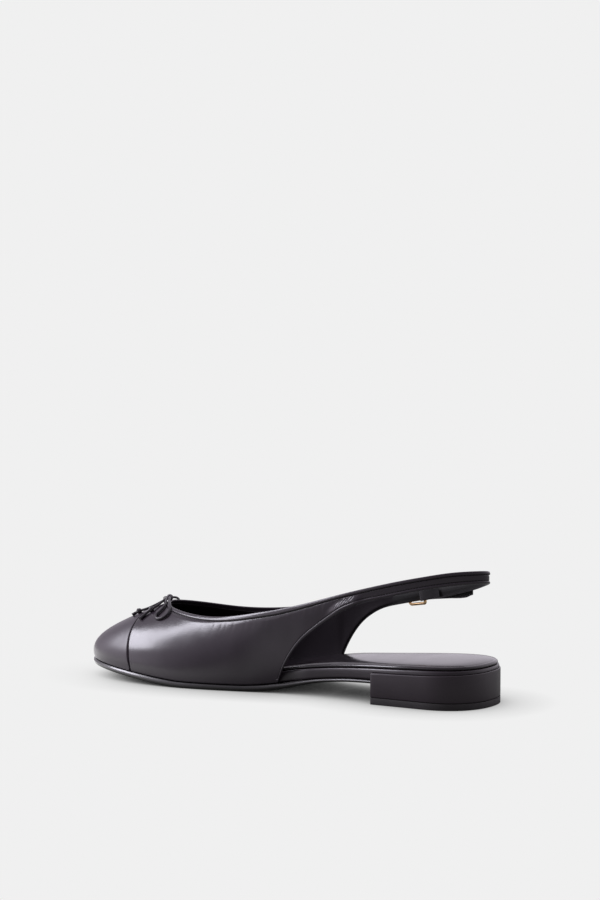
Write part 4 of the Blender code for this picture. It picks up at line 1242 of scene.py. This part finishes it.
# waxed polyester thread: black, fine twist, a soft shine on each stitch
thread, tree, thread_shader, spot = start_material("waxed_black_thread")
twist = {"Vector": spot, "Scale": 1 / (0.25 * MM), "Detail": 1.0}
twist = add_node(tree, "ShaderNodeTexNoise", twist).outputs["Fac"]
dye = {0: twist, 6: linear("#0c0a0c"), 7: linear("#1c181c")}
dye = add_node(tree, "ShaderNodeMix", dye, data_type="RGBA")
tree.links.new(dye.outputs[2], thread_shader.inputs["Base Color"])
wax = add_node(tree, "ShaderNodeMapRange", {"Value": twist, "To Min": 0.3, "To Max": 0.5})
tree.links.new(wax.outputs[0], thread_shader.inputs["Roughness"])
stitching.data.materials.append(thread)
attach(stitching, "root")


# Buckle: a small frame and prong of polished pale gold wire. The bar sits in the fold of the heel strap, and
# the prong goes through the other strap and lies on the frame's front rim.
BUCKLE_HALF_WIDTH = 4.8
BAR_CORNER, RIM_CORNER = 0.9, 2.6
PRONG_WIRE = 0.65
PRONG_PATH = [
    # forward of the bar, out from the bar
    (1.6, 3.0),
    (1.8, 4.4),
    (2.5, 5.9),
    (4.7, 6.0),
    (12.2, 2.6),
    (16.0, 1.8),
]


def round_rows(path, radii, sides, closed=False, groove=0.0):
    """Rings of a round cord along a path. A groove narrows it along one side."""
    path = np.asarray(path, float)
    if closed:
        run = np.roll(path, -1, axis=0) - np.roll(path, 1, axis=0)
    else:
        run = np.gradient(path, axis=0)
    run /= np.linalg.norm(run, axis=1)[:, None]
    side = np.cross(run[0], (0.3, 0.5, 0.81))  # any direction that no path starts along
    turn = np.linspace(0, 2 * math.pi, sides + 1)
    rings = []
    for place, ahead, reach in zip(path, run, np.broadcast_to(radii, len(path))):
        side = side - ahead * (side @ ahead)
        side /= np.linalg.norm(side)
        above = np.cross(ahead, side)
        shape = reach * (1 - groove * np.exp(-(np.sin((turn - math.pi / 2) / 2) / 0.22) ** 2))[:, None]
        rings.append(place + shape * (np.outer(np.cos(turn), side) + np.outer(np.sin(turn), above)))
    if closed:
        start = np.argmin(np.linalg.norm(rings[-1][:-1] - rings[0][0], axis=1))
        rings.append(np.roll(rings[0][:-1], start, axis=0)[[*range(sides), 0]])
    return np.array(rings)


frame_path = []
for along, side, radius, begin in (
    (0, -1, BAR_CORNER, 270),
    (0, 1, BAR_CORNER, 180),
    (buckle_length, 1, RIM_CORNER, 90),
    (buckle_length, -1, RIM_CORNER, 0),
):
    inner = (along + (radius if along == 0 else -radius), side * (BUCKLE_HALF_WIDTH - radius))
    for turn in np.radians(np.linspace(begin, begin - 90, 10)):
        u, v = inner[0] + radius * math.cos(turn), inner[1] + radius * math.sin(turn)
        frame_path.append(BAR + buckle_ahead * u + buckle_up * v)
buckle_frame = grid("buckle_frame_gold", round_rows(frame_path, BUCKLE_WIRE, 16, closed=True))
close(buckle_frame, angle=60, fill=False)
hook_reach = BUCKLE_WIRE + GAP + PRONG_WIRE
prong_path = [
    BAR + hook_reach * (math.cos(turn) * buckle_ahead + math.sin(turn) * buckle_out)
    for turn in np.radians(np.arange(-40, -271, -15))
]
prong_path += [BAR + buckle_ahead * u + buckle_out * v for u, v in PRONG_PATH]
prong_path = np.array(prong_path)
prong_along = chords(prong_path)
prong_at = np.linspace(0, prong_along[-1], 90)
prong_round = np.clip((prong_along[-1] - prong_at) / PRONG_WIRE, 0, 1)
prong_radii = PRONG_WIRE * np.sqrt(np.clip(1 - (1 - prong_round) ** 2, 0.02, 1))
prong_rows = round_rows(spline(prong_along, prong_path, prong_at), prong_radii, 14)
buckle_prong = grid("buckle_prong_gold", prong_rows)
close(buckle_prong, angle=60)

# gold-plated brass: warm, mirror-like, with faint hairlines from polishing
gold, tree, gold_shader, spot = start_material("polished_gold_plate")
# real hairlines are under 0.05 mm, drawn at 0.25 mm so that they show
hair = {"Vector": spot, "Scale": 1 / (0.25 * MM), "Detail": 2.0}
hair = add_node(tree, "ShaderNodeTexNoise", hair).outputs["Fac"]
plate = {0: hair, 6: linear("#e2bb86"), 7: linear("#eccb9c")}
plate = add_node(tree, "ShaderNodeMix", plate, data_type="RGBA")
tree.links.new(plate.outputs[2], gold_shader.inputs["Base Color"])
shine = add_node(tree, "ShaderNodeMapRange", {"Value": hair, "To Min": 0.14, "To Max": 0.26})
tree.links.new(shine.outputs[0], gold_shader.inputs["Roughness"])
gold_shader.inputs["Metallic"].default_value = 1.0
for piece, node in ((buckle_frame, "buckle_frame"), (buckle_prong, "buckle_prong")):
    piece.data.materials.append(gold)
    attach(piece, "root")
    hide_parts(node)


# Bow: thin cord of folded and sewn leather, tied in a small bow that is sewn down on the throat. Each tail
# ends in a knot with a short flared tip.
CORD, CORD_GROOVE = 0.72, 0.16  # its radius, and how much narrower it is along its seam
TAIL_KNOT = 1.65  # radius of the knot on each tail
TAIL_TIP = {"bow_tail_medial": 9.0, "bow_tail_lateral": 4.4}  # length from that knot to the tail's end
BOW_KNOT = (205.4, -1.0, 2.2)
BOW_KNOT_SIZE = (1.9, 2.0, 1.7)
MEDIAL_LOOP = [
    # s, y, height of the cord's middle over the vamp
    (205.2, -4.8, 1.9),
    (203.2, -8.5, 1.2),
    (202.0, -13.0, 1.0),
    (202.5, -16.8, 1.0),
    (203.0, -19.4, 1.0),
    (201.4, -21.4, 1.0),
    (198.0, -21.8, 1.0),
    (195.6, -20.0, 1.1),
    (195.8, -16.4, 1.2),
    (198.2, -12.2, 1.4),
    (201.0, -8.6, 1.7),
    (202.8, -5.3, 2.1),
]
LATERAL_LOOP = [
    (208.6, 1.6, 3.2),
    (211.6, 3.6, 4.0),
    (214.6, 7.6, 3.8),
    (215.4, 12.0, 2.4),
    (213.0, 15.6, 1.2),
    (208.6, 15.6, 1.0),
    (205.6, 10.0, 1.2),
    (204.0, 3.6, 1.7),
]
MEDIAL_TAIL = [
    (207.6, -4.2, 1.7),
    (208.4, -8.4, 1.1),
    (209.3, -12.2, 1.3),
    (210.8, -15.6, 1.2),
    (211.9, -18.0, 1.0),
    (213.0, -20.4, 0.9),
]
LATERAL_TAIL = [
    (208.9, -1.6, 1.7),
    (211.8, -5.0, 1.1),
    (214.2, -8.2, 1.1),
    (216.6, -9.6, 1.3),
    (218.8, -10.2, 1.6),
    (220.6, -10.7, 1.6),
    (223.2, -12.4, 1.1),
]

vamp_rows = curve[::2, ::3]
count = vamp_rows.shape[1]
vamp_faces = [
    (i * count + j, i * count + j + 1, (i + 1) * count + j + 1, (i + 1) * count + j)
    for i in range(len(vamp_rows) - 1)
    for j in range(count - 1)
]
vamp_tree = BVHTree.FromPolygons(vamp_rows.reshape(-1, 3).tolist(), vamp_faces)


def vamp_height(s, y):
    """Height of the vamp's outside over a place in plan."""
    return vamp_tree.ray_cast((s, y, LENGTH), (0, 0, -1))[0].z


cord_leather = leather("bow_cord_calf", "#1a151b", "#201a21", rough=0.31, grain=0.25, uneven=0.05)
turn = np.radians(np.linspace(-88, 88, 22))
around = np.linspace(0, 2 * math.pi, 41)
knot_middle = np.array([BOW_KNOT[0], BOW_KNOT[1], vamp_height(*BOW_KNOT[:2]) + BOW_KNOT[2]])
knot_rows = []
for a in turn:
    level = np.full(len(around), math.sin(a))
    ball = np.column_stack([math.cos(a) * np.cos(around), math.cos(a) * np.sin(around), level])
    wraps = 1 + 0.07 * np.sin(ball[:, 1] * 7.5 + ball[:, 0] * 1.5)
    knot_rows.append(knot_middle + ball * BOW_KNOT_SIZE * wraps[:, None])
bow_knot = grid("bow_knot_cord", knot_rows)
close(bow_knot, angle=60)
bow = [(bow_knot, "bow_knot")]
for name, rows, points in (
    ("bow_loop_medial", MEDIAL_LOOP, 110),
    ("bow_loop_lateral", LATERAL_LOOP, 90),
    ("bow_tail_medial", MEDIAL_TAIL, 110),
    ("bow_tail_lateral", LATERAL_TAIL, 110),
):
    path = [(row[0], row[1], vamp_height(row[0], row[1]) + row[2]) for row in rows]
    path = np.array([knot_middle, *path] if "tail" in name else [knot_middle, *path, knot_middle])
    path_along = chords(path)
    at = np.linspace(0, path_along[-1], points)
    radius = np.full(points, CORD)
    if "tail" in name:
        past = at - (at[-1] - TAIL_TIP[name])
        radius = CORD * np.where(past > 0, 0.85 + 0.6 * past / TAIL_TIP[name], 1)
        ball = np.sqrt(np.clip(TAIL_KNOT**2 - past**2, 0, None)) * (1 + 0.07 * np.sin(past * 4.2))
        radius = np.maximum(radius, ball)
    piece = grid(name + "_cord", round_rows(spline(path_along, path, at), radius, 20, groove=CORD_GROOVE))
    close(piece, angle=60)
    bow.append((piece, name))
for piece, node in bow:
    piece.data.materials.append(cord_leather)
    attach(piece, "root")
    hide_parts(node)
